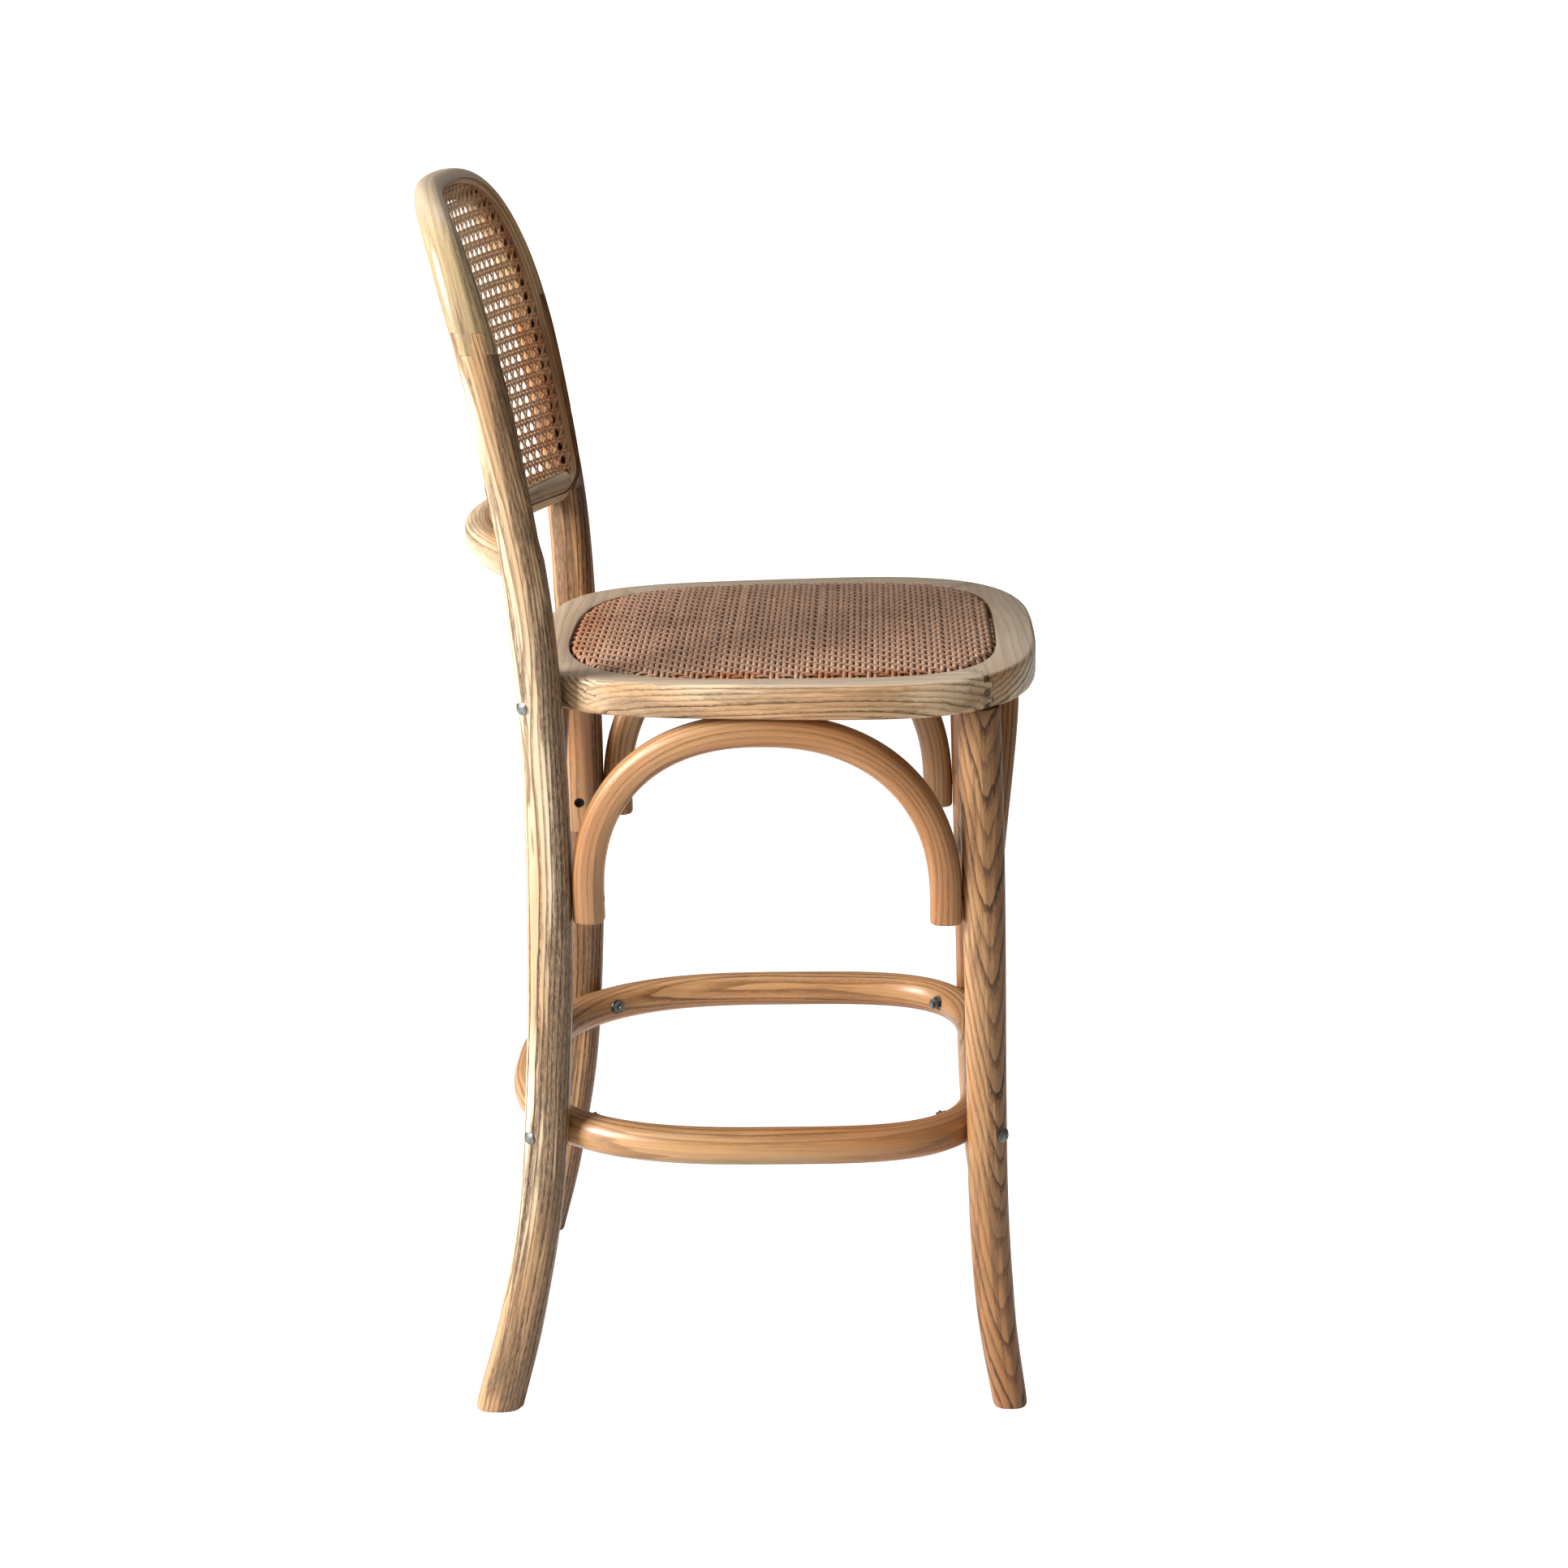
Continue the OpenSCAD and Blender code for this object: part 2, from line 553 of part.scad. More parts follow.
// Lifts an elevation point onto the arch's plan line a-b, which bows by bow at the top
function arch_point(p, half, a, b, bow, low) =
    let(s = (p.x / half + 1) / 2, up = pow(max(0, (p.y - low) / (seat_under - low)), 1.5))
    [a.x + (b.x - a.x) * s, a.y + (b.y - a.y) * s, p.y] + up * bow;
arch_steps = 22;
module arch(a, b, low, bow) {
    half = norm(b - a) / 2;
    d = unit([b.x - a.x, b.y - a.y, 0]);
    path = [for (p = arch_curve(half, low, arch_steps)) arch_point(p, half, a, b, bow, low)];
    color("burlywood") sweep(path, [for (p = path) [arch_t, arch_t + 0.5]], cross([0, 0, 1], d), arch_round, arch_sides,
        ends = [[0, 0, 1], [0, 0, -1]]);
}
arch_hold = 0.3;
// Ends of the side arch's centre line, against the rear leg's front and the front leg's rear
screw_up = 22;
side_z = side_arch_end + screw_up;
cross_z = max(front_arch_end, rear_arch_end) + screw_up + 7;
side_rear = let(p = rear_at(side_z)) [p.x - 1, p.y - rear_size(side_z)[1] / 2 - arch_t / 2 - arch_hold];
side_front = let(p = front_at(side_z)) [p.x + 4, p.y + front_size(side_z)[1] / 2 + arch_t / 2 + arch_hold];
cross_front = let(p = front_at(cross_z)) [p.x - front_size(cross_z)[0] / 2 - arch_t / 2 - arch_hold - 0.6, p.y - 1];
cross_rear = let(p = rear_at(cross_z)) [p.x - rear_size(cross_z)[0] / 2 - arch_t / 2 - arch_hold, p.y];
front_bow = [0, -24, 0];
side_bow = [side_arch_bow, 0, 0];
module side_arch() {
    difference() {
        arch(side_rear, side_front, side_arch_end, side_bow);
        rear_screw_holes(1);
        front_screw_holes(1);
        arch_top_screw_set(1);
    }
}
module side_arch_left() { side_arch(); }
module side_arch_right() { mirror([1, 0, 0]) side_arch(); }
module front_arch() {
    difference() {
        arch([-cross_front.x, cross_front.y], cross_front, front_arch_end, front_bow);
        both_sides() front_screw_holes(1);
        arch_top_screw_set(1);
    }
}
module rear_arch() {
    difference() {
        arch([-cross_rear.x, cross_rear.y], cross_rear, rear_arch_end, [0, 0, 0]);
        both_sides() rear_screw_holes(1);
        arch_top_screw_set(1);
    }
}

// Arch end screws: each starts in a counterbore on the arch's inner face and runs into the leg
sink = 7;
screw_len = 40;
screw_head_h = 3;
// +Z runs from the arch's inner face towards the leg, with the origin on that face
module at_rear_screws() {
    translate([side_rear.x, side_rear.y - arch_t / 2, side_z]) rotate([-90, 0, 0]) children();
    translate([cross_rear.x - arch_t / 2, cross_rear.y, cross_z]) rotate([0, 90, 0]) children();
}
module at_front_screws() {
    translate([side_front.x, side_front.y + arch_t / 2, side_z]) rotate([90, 0, 0]) children();
    translate([cross_front.x - arch_t / 2, cross_front.y, cross_z]) rotate([0, 90, 0]) children();
}
module screw_bore(wide) {
    cylinder(r = screw_dia / 2 + gap, h = screw_len + 2 * gap + sink, $fn = 20);
    if (wide == 1) translate([0, 0, -20]) cylinder(r = screw_sink_dia / 2, h = 20 + sink, $fn = 24);
}
module rear_screw_holes(wide) { at_rear_screws() screw_bore(wide); }
module front_screw_holes(wide) { at_front_screws() screw_bore(wide); }
module screw() {
    translate([0, 0, sink - 1]) cylinder(r = screw_dia / 2, h = screw_len, $fn = 20);
    translate([0, 0, sink - screw_head_h]) difference() {
        cylinder(r = screw_sink_dia / 2 - 0.5, h = screw_head_h, $fn = 24);
        translate([0, 0, -0.1]) cylinder(r = 2, h = 1.6, $fn = 6);
    }
}
module arch_end_screws() {
    color("dimgray") both_sides() {
        at_rear_screws() screw();
        at_front_screws() screw();
    }
}
// Arch top screws: up through each arch's crown into the seat frame
top_screw_len = 34;
module at_arch_tops() {
    z = seat_under - gap - arch_t;
    both_sides() translate([(side_rear.x + side_front.x) / 2 + side_bow.x * 0.9, (side_rear.y + side_front.y) / 2, z])
        children();
    translate([0, cross_front.y + front_bow.y * 0.9, z]) children();
    translate([0, cross_rear.y, z]) children();
}
module arch_top_screw_set(wide) {
    at_arch_tops() {
        translate([0, 0, -5]) cylinder(r = screw_dia / 2 + gap, h = top_screw_len + 5 + sink, $fn = 20);
        if (wide == 1) translate([0, 0, -10]) cylinder(r = screw_sink_dia / 2, h = 10 + sink, $fn = 24);
    }
}
module arch_top_screws() {
    color("dimgray") at_arch_tops() {
        translate([0, 0, sink - 1]) cylinder(r = screw_dia / 2, h = arch_t - sink + layer_h, $fn = 20);
        translate([0, 0, sink - screw_head_h])
            cylinder(r = screw_sink_dia / 2 - 0.5, h = screw_head_h, $fn = 24);
    }
}

// ---- Bolts, washers and nuts: +Z is towards the head ----
module dome_bolt(inward) {
    dome_r = (head_r * head_r + head_dome * head_dome) / (2 * head_dome);
    translate([0, 0, -inward]) cylinder(r = bolt_r, h = inward + bolt_out + 0.5, $fn = 24);
    translate([0, 0, bolt_out]) intersection() {
        cylinder(r = head_r, h = head_dome + 1, $fn = 32);
        translate([0, 0, head_dome - dome_r]) sphere(r = dome_r, $fn = 48);
    }
}
module washer() {
    difference() {
        cylinder(r = washer_r, h = washer_t, $fn = 32);
        translate([0, 0, -1]) cylinder(r = bolt_r + gap, h = 5, $fn = 24);
    }
}
module hex_nut() {
    difference() {
        cylinder(d = nut_flats / cos(30), h = nut_h, $fn = 6);
        translate([0, 0, -1]) cylinder(r = bolt_r + gap / 2, h = nut_h + 2, $fn = 24);
    }
}
ring_seat = ring_dia - ring_flat - 1.2;
module ring_bolts() { color("silver") at_ring_bolts() dome_bolt(ring_seat + washer_t + nut_h + 3); }
module ring_washers() { color("silver") at_ring_bolts() translate([0, 0, -ring_seat - washer_t]) washer(); }
module ring_nuts() { color("silver") at_ring_bolts() translate([0, 0, -ring_seat - washer_t - nut_h - gap / 2]) hex_nut(); }
module seat_bolts() { color("silver") at_seat_bolts() dome_bolt(seat_bolt_in - 8 + washer_t + nut_h + 2); }
module seat_bolt_washers() { color("silver") at_seat_bolts() translate([0, 0, -seat_bolt_in + 8 - washer_t]) washer(); }
module seat_bolt_nuts() {
    color("silver") at_seat_bolts() translate([0, 0, -seat_bolt_in + 8 - washer_t - nut_h - gap / 2]) hex_nut();
}

rear_leg_right();
rear_leg_left();
top_bow();
back_rail();
cane_frame();
back_cane_panel();
front_leg_right();
front_leg_left();
seat_front_rail();
seat_right_rail();
seat_rear_rail();
seat_left_rail();
seat_board();
seat_foam();
seat_rattan();
footrest_ring();
side_arch_right();
side_arch_left();
front_arch();
rear_arch();
ring_bolts();
ring_washers();
ring_nuts();
seat_bolts();
seat_bolt_washers();
seat_bolt_nuts();
arch_end_screws();
arch_top_screws();
rail_dowels();
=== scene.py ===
"""Bentwood bar stool: limed open-grain wood, a cane back, a woven rattan seat and a hoop footrest."""

import math

import bpy
import numpy as np
from mathutils import Matrix, Vector


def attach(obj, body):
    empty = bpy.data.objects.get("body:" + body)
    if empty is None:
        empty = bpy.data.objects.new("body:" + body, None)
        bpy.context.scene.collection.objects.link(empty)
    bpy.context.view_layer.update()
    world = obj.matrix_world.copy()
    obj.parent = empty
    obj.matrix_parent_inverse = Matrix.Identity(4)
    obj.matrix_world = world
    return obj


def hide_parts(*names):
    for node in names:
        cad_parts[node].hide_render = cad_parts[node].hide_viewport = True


bl_info = {
    "name": "Bentwood Bar Stool",
    "version": (1, 0, 0),
    "blender": (4, 5, 0),
    "location": "View3D > Sidebar > Stool",
    "description": "Builds a bentwood bar stool with a cane back and a woven seat round its fixed frame",
    "category": "Add Mesh",
}

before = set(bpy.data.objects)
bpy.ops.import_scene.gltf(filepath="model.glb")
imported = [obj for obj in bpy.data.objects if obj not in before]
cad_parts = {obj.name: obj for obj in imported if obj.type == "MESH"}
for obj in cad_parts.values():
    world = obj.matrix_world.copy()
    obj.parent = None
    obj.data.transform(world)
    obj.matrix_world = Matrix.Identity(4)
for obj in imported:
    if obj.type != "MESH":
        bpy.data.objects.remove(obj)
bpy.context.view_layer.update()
MM = 0.001

# ---- Sizes of the stool, in millimetres, as the frame has them ----
SEAT_W, SEAT_D, SEAT_H, SEAT_T, SEAT_FRONT = 413.0, 436.0, 660.0, 30.0, 262.0
FRAME_BAND, FRONT_BAND, REAR_BAND, SEAT_CROWN = 27.0, 35.0, 28.0, 7.0
FRONT_LEG_TOP, FRONT_LEG_FOOT, FRONT_LEG_W = 37.0, 30.0, 33.0
REAR_LEG_D, REAR_LEG_W, FRONT_SPLAY, REAR_KICK = 38.5, 33.0, 26.0, 59.0
BACK_H, BACK_HALF_W, BACK_LEAN = 1062.0, 184.5, 60.0
POST_D, BOW_D, BOW_W, BOW_SAG = 36.0, 24.0, 29.0, 30.0
RAIL_SAG, RAIL_ABOVE_SEAT, RAIL_H, RAIL_T, RAIL_DIP = 56.0, 98.0, 27.0, 27.0, 4.0
RING_H, RING_DIA, RING_BULGE, RING_REAR_BULGE, RING_FRONT_BULGE = 249.0, 32.4, 22.0, 28.0, 23.0
ARCH_T, SIDE_ARCH_END, FRONT_ARCH_END, REAR_ARCH_END = 27.0, 443.0, 430.0, 436.0
SIDE_ARCH_BOW, FRONT_ARCH_BOW = 18.0, -24.0
SCREW_SINK_R, SCREW_SINK, SCREW_UP = 4.8, 7.0, 22.0
GAP, ARCH_HOLD = 0.1, 0.3
WOOD_POWER = 2.7
ARCH_ROUND = 2 / 2.25

SEAT_UNDER = SEAT_H - SEAT_T
SEAT_REAR = SEAT_D - SEAT_FRONT
SEAT_MID_Y = (SEAT_REAR - SEAT_FRONT) / 2
OPEN_W = SEAT_W - 2 * FRAME_BAND
OPEN_FRONT = FRONT_BAND - SEAT_FRONT
OPEN_REAR = SEAT_REAR - REAR_BAND
RAIL_Z = SEAT_H + RAIL_ABOVE_SEAT
JOINT_Z = SEAT_H + 283
JOINT_FINGER = 11.0
ROUND_Z = BACK_H - 236
TOP_Z = BACK_H - BOW_W / 2
HOOP_POWER = 4.0
REAR_POST = (SEAT_W / 2 - 41.5, SEAT_REAR - 13.5)
FRONT_TOP = (SEAT_W / 2 - 42.5, 54 - SEAT_FRONT)
CANE_FRAME_W, CANE_FRAME_D, CANE_OUT, CANE_CORNER, CANE_BACK = 5.0, 9.0, 3.2, 30.0, 5.0
CANE_LOW = RAIL_Z - 2
SIDE_Z = SIDE_ARCH_END + SCREW_UP
CROSS_Z = max(FRONT_ARCH_END, REAR_ARCH_END) + SCREW_UP + 7
SEAT_LAYER = SEAT_T / 5
WEAVE_INSET = 1.9
SEAT_CORNERS = [math.radians(angle) for angle in (-44, 42, 138, 224)]

# Centre lines of a rear leg and a front leg: two plan offsets and a height
REAR_LINE = (
    (25, REAR_KICK, 0),
    (20.5, 0.62 * REAR_KICK, 80),
    (12, 0.26 * REAR_KICK, 190),
    (4.5, 0.07 * REAR_KICK, 320),
    (-2, -1, 440),
    (-1.5, -2.6, 540),
    (5, 0, SEAT_H - 6),
    (14, 0.072 * BACK_LEAN, SEAT_H + 75),
    (BACK_HALF_W - REAR_POST[0] - 1, 0.238 * BACK_LEAN, SEAT_H + 155),
    (BACK_HALF_W - REAR_POST[0], 0.492 * BACK_LEAN, SEAT_H + 245),
    (BACK_HALF_W - REAR_POST[0], BACK_LEAN, TOP_Z),
)
FRONT_LINE = (
    (FRONT_SPLAY, -25.5, 0),
    (20, -14, 80),
    (14.5, -7.5, 180),
    (11, -5.6, 300),
    (8, -4.2, 440),
    (3, -2, 560),
    (0, 0, SEAT_UNDER),
)


# ---- Lines and outlines ----
def signed_power(value, power):
    return math.copysign(abs(value) ** power, value)


def smooth_line(points, z, axis):
    """Value of one plan axis at height z on the smooth line through the points."""
    i = 0
    while i < len(points) - 2 and z >= points[i + 1][2]:
        i += 1

    def slope(k):
        low, high = max(0, k - 1), min(len(points) - 1, k + 1)
        return (points[high][axis] - points[low][axis]) / (points[high][2] - points[low][2])

    h = points[i + 1][2] - points[i][2]
    t = (z - points[i][2]) / h
    return (
        (2 * t**3 - 3 * t**2 + 1) * points[i][axis]
        + (t**3 - 2 * t**2 + t) * h * slope(i)
        + (3 * t**2 - 2 * t**3) * points[i + 1][axis]
        + (t**3 - t**2) * h * slope(i + 1)
    )


def rear_at(z):
    """Centre of the left rear leg and post at height z."""
    return (REAR_POST[0] + smooth_line(REAR_LINE, z, 0), REAR_POST[1] + smooth_line(REAR_LINE, z, 1), z)


def front_at(z):
    """Centre of the left front leg at height z."""
    return (FRONT_TOP[0] + smooth_line(FRONT_LINE, z, 0), FRONT_TOP[1] + smooth_line(FRONT_LINE, z, 1), z)


def back_y(x, z):
    """Depth of the back's curved middle surface."""
    sag = BOW_SAG + (RAIL_SAG - BOW_SAG) * min(1, max(0, (TOP_Z - z) / (TOP_Z - RAIL_Z)))
    half = rear_at(min(z, ROUND_Z))[0]
    return rear_at(z)[1] + sag * (1 - min(1, abs(x) / half) ** 1.8)


def hoop_half(z, inset=0.0):
    """Half-width of the back's hoop at height z."""
    if z <= ROUND_Z:
        return rear_at(z)[0] - inset
    up = min(1.0, (z - ROUND_Z) / (TOP_Z - inset - ROUND_Z))
    return (BACK_HALF_W - inset) * max(0.0, 1 - up**HOOP_POWER) ** (1 / HOOP_POWER)


def hoop_at(angle, inset=0.0):
    """Place on the hoop's rounded top, in elevation."""
    w, h = BACK_HALF_W - inset, TOP_Z - inset - ROUND_Z
    c, s = math.cos(angle), math.sin(angle)
    r = ((abs(c) / w) ** HOOP_POWER + (abs(s) / h) ** HOOP_POWER) ** (-1 / HOOP_POWER)
    return (r * c, ROUND_Z + r * s)


def on_back(x, z, forward=0.0):
    return (x, back_y(x, z) - forward, z)


def bow_size(z):
    """Thickness and width of the bow, which thins towards its middle."""
    up = min(1, max(0, (z - ROUND_Z) / (TOP_Z - ROUND_Z))) ** HOOP_POWER
    return (POST_D + (BOW_D - POST_D) * up, BOW_W - 1.4 * up)


def rear_size(z):
    foot, back = max(0, 1 - z / 130), min(1, max(0, (z - SEAT_H) / 120))
    return (
        REAR_LEG_W + 3 * foot + back * (BOW_W - REAR_LEG_W),
        REAR_LEG_D + 3 * foot + back * (bow_size(z)[0] - REAR_LEG_D),
    )


def front_size(z):
    foot = max(0, 1 - z / 110)
    up = min(1, max(0, (z - 0.45 * SEAT_H) / (0.3 * SEAT_H)))
    mid = 34.5
    return (FRONT_LEG_W, mid + foot * (FRONT_LEG_FOOT - mid) + up * (FRONT_LEG_TOP - mid))


def cane_front(z):
    return 13.5 - 3 * min(1, max(0, (z - RAIL_Z) / (TOP_Z - RAIL_Z)))


def cane_back(z):
    """How far the cane lies behind the front edge of its frame."""
    return CANE_BACK + 1 - 3 * min(1, max(0, (ROUND_Z - z) / (ROUND_Z - RAIL_Z)))


def cane_half(z, inset):
    """Half-width of the cane's opening at height z, or 0 outside it."""
    low, high, r = CANE_LOW + inset, TOP_Z + CANE_OUT - inset, CANE_CORNER - inset
    if z <= low or z >= high:
        return 0.0
    corner = r - math.sqrt(max(0, r * r - (low + r - z) ** 2)) if z < low + r else 0
    return hoop_half(z, inset - CANE_OUT) - corner


def cane_loop(inset, count):
    """Closed line in elevation round the cane frame."""
    r, low = CANE_CORNER - inset, CANE_LOW + inset
    side_z = low + r
    w = hoop_half(side_z, inset - CANE_OUT)
    base = [(i / 12 * (w - r), low) for i in range(-11, 12)]
    corner = [(w - r + r * math.cos(a), side_z - r * math.sin(a)) for a in np.linspace(math.pi / 2, 0.15, 10)]
    side = [(hoop_half(z, inset - CANE_OUT), z) for z in np.linspace(side_z, ROUND_Z, 9)[:-1]]
    top = [hoop_at(a, inset - CANE_OUT) for a in np.linspace(0, math.pi / 2, count)]
    half = corner + side + top
    return base + half + [(-x, z) for x, z in half[-2::-1]]


def ellipse_outline(w, front, rear, front_power, rear_power, taper, count):
    points = []
    for i in range(count):
        a = 2 * math.pi * i / count
        power = front_power if math.cos(a) > 0 else rear_power
        t = -signed_power(math.cos(a), 2 / power)
        x = w / 2 * signed_power(math.sin(a), 2 / power) * (1 - taper * t)
        points.append((x, (rear + front) / 2 + (rear - front) / 2 * t))
    return np.array(points)


def seat_outline(inset, count=720):
    width = SEAT_W - 3 - 2 * inset
    return ellipse_outline(width, -SEAT_FRONT + inset, SEAT_REAR - inset, 3.1, 4.1, 0.09, count)


def open_outline(inset, count=720):
    return ellipse_outline(OPEN_W - 2 * inset, OPEN_FRONT + inset, OPEN_REAR - inset, 3.9, 3.1, 0.02, count)


def by_polar_angle(outline, angles):
    """Points of an outline where rays at the given angles from the seat's middle meet it."""
    centre = np.array([0.0, SEAT_MID_Y])
    d = outline - centre
    theta = np.unwrap(np.arctan2(d[:, 1], d[:, 0]))
    if theta[-1] < theta[0]:
        d, theta = d[::-1], theta[::-1]
    r = np.hypot(d[:, 0], d[:, 1])
    order = np.argsort(theta % (2 * math.pi))
    radius = np.interp(angles % (2 * math.pi), (theta % (2 * math.pi))[order], r[order], period=2 * math.pi)
    return centre + radius[:, None] * np.stack([np.cos(angles), np.sin(angles)], 1)


# ---- Footrest corners ----
BOLT_SLANT = math.radians(50)
LEG_FLAT_R = 17.3
RING_FLAT = 1.7


def diagonal(front):
    return np.array([math.cos(BOLT_SLANT), (-1 if front else 1) * math.sin(BOLT_SLANT), 0.0])


def corner_ring(front):
    post = np.array(front_at(RING_H + 3) if front else rear_at(RING_H + 3))
    return post - (LEG_FLAT_R + RING_DIA / 2 - RING_FLAT) * diagonal(front)


def solve_power(a, b):
    """The roundness with which a superellipse passes through a point."""
    low, high = 1.6, 9.0
    for _ in range(40):
        mid = (low + high) / 2
        if a**mid + b**mid > 1:
            low = mid
        else:
            high = mid
    return mid


def ring_path(count):
    """The hoop's centre line, rounded so that it passes through its bolted corners."""
    half_w = front_at(RING_H)[0] + RING_BULGE
    front_y = corner_ring(True)[1] - RING_FRONT_BULGE
    rear_y = rear_at(RING_H)[1] + RING_REAR_BULGE
    mid_y = (front_y + rear_y) / 2 - 12
    points = []
    for i in range(count):
        a = 2 * math.pi * i / count
        front = math.cos(a) > 0
        reach = mid_y - front_y if front else rear_y - mid_y
        corner = corner_ring(front)
        power = solve_power(corner[0] / half_w, abs(corner[1] - mid_y) / reach)
        x = half_w * signed_power(math.sin(a), 2 / power)
        points.append((x, mid_y - reach * signed_power(math.cos(a), 2 / power), RING_H))
    return even_loop(points, count)


def even_loop(points, count):
    """The same closed line with its points at even distances."""
    p = np.array(points + [points[0]])
    s = np.concatenate([[0], np.cumsum(np.linalg.norm(np.diff(p, axis=0), axis=1))])
    t = np.linspace(0, s[-1], count + 1)[:-1]
    return [tuple(np.interp(t, s, p[:, k])[i] for k in range(3)) for i in range(count)]


# ---- Mesh making ----
def clear_selection():
    bpy.ops.object.select_all(action="DESELECT")


def use(piece):
    """Makes one piece the only selected and active object."""
    clear_selection()
    piece.hide_set(False)
    piece.select_set(True)
    bpy.context.view_layer.objects.active = piece


def new_mesh_object(name, points, faces, along=None, across=None):
    """A mesh object from points in millimetres, with the grain's own coordinates on its face corners."""
    mesh = bpy.data.meshes.new(name)
    mesh.from_pydata((np.asarray(points, float) * MM).tolist(), [], faces)
    piece = bpy.data.objects.new(name, mesh)
    bpy.context.scene.collection.objects.link(piece)
    if along is not None:
        corners = np.empty(len(mesh.loops), np.int32)
        mesh.loops.foreach_get("vertex_index", corners)
        store_grain(mesh, np.asarray(along)[corners], np.asarray(across)[corners])
    return piece


def store_grain(mesh, along, across):
    """Two UV maps: metres along the grain with the level in the weave, and the place across the section."""
    if along.ndim == 1:
        along = np.stack([along, np.ones(len(along))], 1)
    for layer, values in (
        ("grain_across", across),
        ("grain_along", along),
    ):
        uv = mesh.uv_layers.get(layer) or mesh.uv_layers.new(name=layer)
        uv.data.foreach_set("uv", np.ascontiguousarray(values, np.float32).ravel())


def grain_by_place(piece, direction, side, start=0.0):
    """Straight grain: along one direction, across the other two."""
    mesh = piece.data
    count = len(mesh.loops)
    corners = np.empty(count, np.int32)
    mesh.loops.foreach_get("vertex_index", corners)
    co = np.empty(len(mesh.vertices) * 3, np.float32)
    mesh.vertices.foreach_get("co", co)
    co = co.reshape(-1, 3)[corners]
    d, s = np.array(direction, float), np.array(side, float)
    third = np.cross(d, s)
    store_grain(mesh, co @ d + start, np.stack([co @ s, co @ third], 1))


def bridge_faces(loops, count, closed=False):
    """Quads between neighbouring loops of points, with both ends filled unless the row is closed."""
    faces = []
    for i in range(loops if closed else loops - 1):
        for j in range(count):
            a, b = i * count + j, i * count + (j + 1) % count
            c, d = ((i + 1) % loops) * count + j, ((i + 1) % loops) * count + (j + 1) % count
            faces.append((a, b, d, c))
    if not closed:
        faces.append(tuple(range(count - 1, -1, -1)))
        faces.append(tuple((loops - 1) * count + j for j in range(count)))
    return faces


def plain_solid(name, loops, count, closed=False):
    """A solid from rows of loops, with an empty grain: a cutter, or a piece that gets its grain later."""
    points = [point for loop in loops for point in loop]
    blank = np.zeros((len(points), 2))
    piece = new_mesh_object(name, points, bridge_faces(len(loops), count, closed), blank[:, 0], blank)
    fix_normals(piece)
    return piece


def unit(v):
    return v / max(1e-12, np.linalg.norm(v))


def section(w, h, power, sides):
    """Points round a rounded wooden section."""
    a = 2 * np.pi * (np.arange(sides) + 0.5) / sides
    c, s = np.cos(a), np.sin(a)
    return np.stack([v / 2 * np.sign(t) * np.abs(t) ** (2 / power) for v, t in ((w, c), (h, s))], 1)


def bent_bar(name, path, sizes, across, power, sides, closed=False, ends=None, soften=0.0, start=0.0):
    """A bar of wood bent along a path, with its own section at each point and softened ends."""
    path = [np.array(p, float) for p in path]
    sizes = [np.array(s, float) for s in sizes]
    if soften and not closed:
        for at_end in (False, True):
            first, second = (path[-1], path[-2]) if at_end else (path[0], path[1])
            size = sizes[-1] if at_end else sizes[0]
            step = unit(second - first)
            extra_p = [first, first + 0.3 * soften * step, first + soften * step]
            extra_s = [size - 2 * soften, size - 0.57 * soften, size]
            if at_end:
                path, sizes = path[:-1] + extra_p[::-1], sizes[:-1] + extra_s[::-1]
            else:
                path, sizes = extra_p + path[1:], extra_s + sizes[1:]
    n = len(path)
    across = np.array(across, float)
    points, along, place = [], [], []
    s = 0.0
    for i in range(n):
        before = path[(i - 1) % n] if closed or i > 0 else path[0]
        after = path[(i + 1) % n] if closed or i < n - 1 else path[-1]
        t = unit(after - before)
        if ends is not None and (i < 3 or i >= n - 3) and soften:
            t = unit(np.array(ends[0] if i < 3 else ends[1], float))
        elif ends is not None and i in (0, n - 1):
            t = unit(np.array(ends[0] if i == 0 else ends[1], float))
        u = unit(np.cross(np.cross(t, across), t))
        v = np.cross(t, u)
        ring = section(sizes[i][0], sizes[i][1], power, sides)
        if i:
            s += np.linalg.norm(path[i] - path[i - 1])
        points.append(path[i] + ring[:, :1] * u + ring[:, 1:] * v)
        along.append(np.full(sides, s * MM + start))
        place.append(ring * MM)
    points, along, place = (np.concatenate(part) for part in (points, along, place))
    piece = new_mesh_object(name, points, bridge_faces(n, sides, closed), along, place)
    fix_normals(piece)
    return piece


def fix_normals(piece):
    """Turns all faces outwards."""
    use(piece)
    bpy.ops.object.mode_set(mode="EDIT")
    bpy.ops.mesh.select_all(action="SELECT")
    bpy.ops.mesh.normals_make_consistent(inside=False)
    bpy.ops.object.mode_set(mode="OBJECT")


def mirrored(piece, name):
    """A copy of a piece on the other side of the middle plane, with its own mesh."""
    copy = piece.copy()
    copy.data = piece.data.copy()
    copy.name = copy.data.name = name
    bpy.context.scene.collection.objects.link(copy)
    copy.data.transform(Matrix.Scale(-1, 4, (1, 0, 0)))
    copy.data.flip_normals()
    return copy


def cut(piece, cutter, operation="DIFFERENCE"):
    """Cuts a piece with another solid, which is used up."""
    use(piece)
    tool = piece.modifiers.new("cut", "BOOLEAN")
    tool.operation = operation
    tool.solver = "EXACT"
    tool.object = cutter
    before = len(piece.data.vertices)
    bpy.ops.object.modifier_apply(modifier=tool.name)
    mesh = cutter.data
    bpy.data.objects.remove(cutter)
    bpy.data.meshes.remove(mesh)
    if before and not piece.data.vertices:
        raise RuntimeError(f"cutting {piece.name} left nothing")


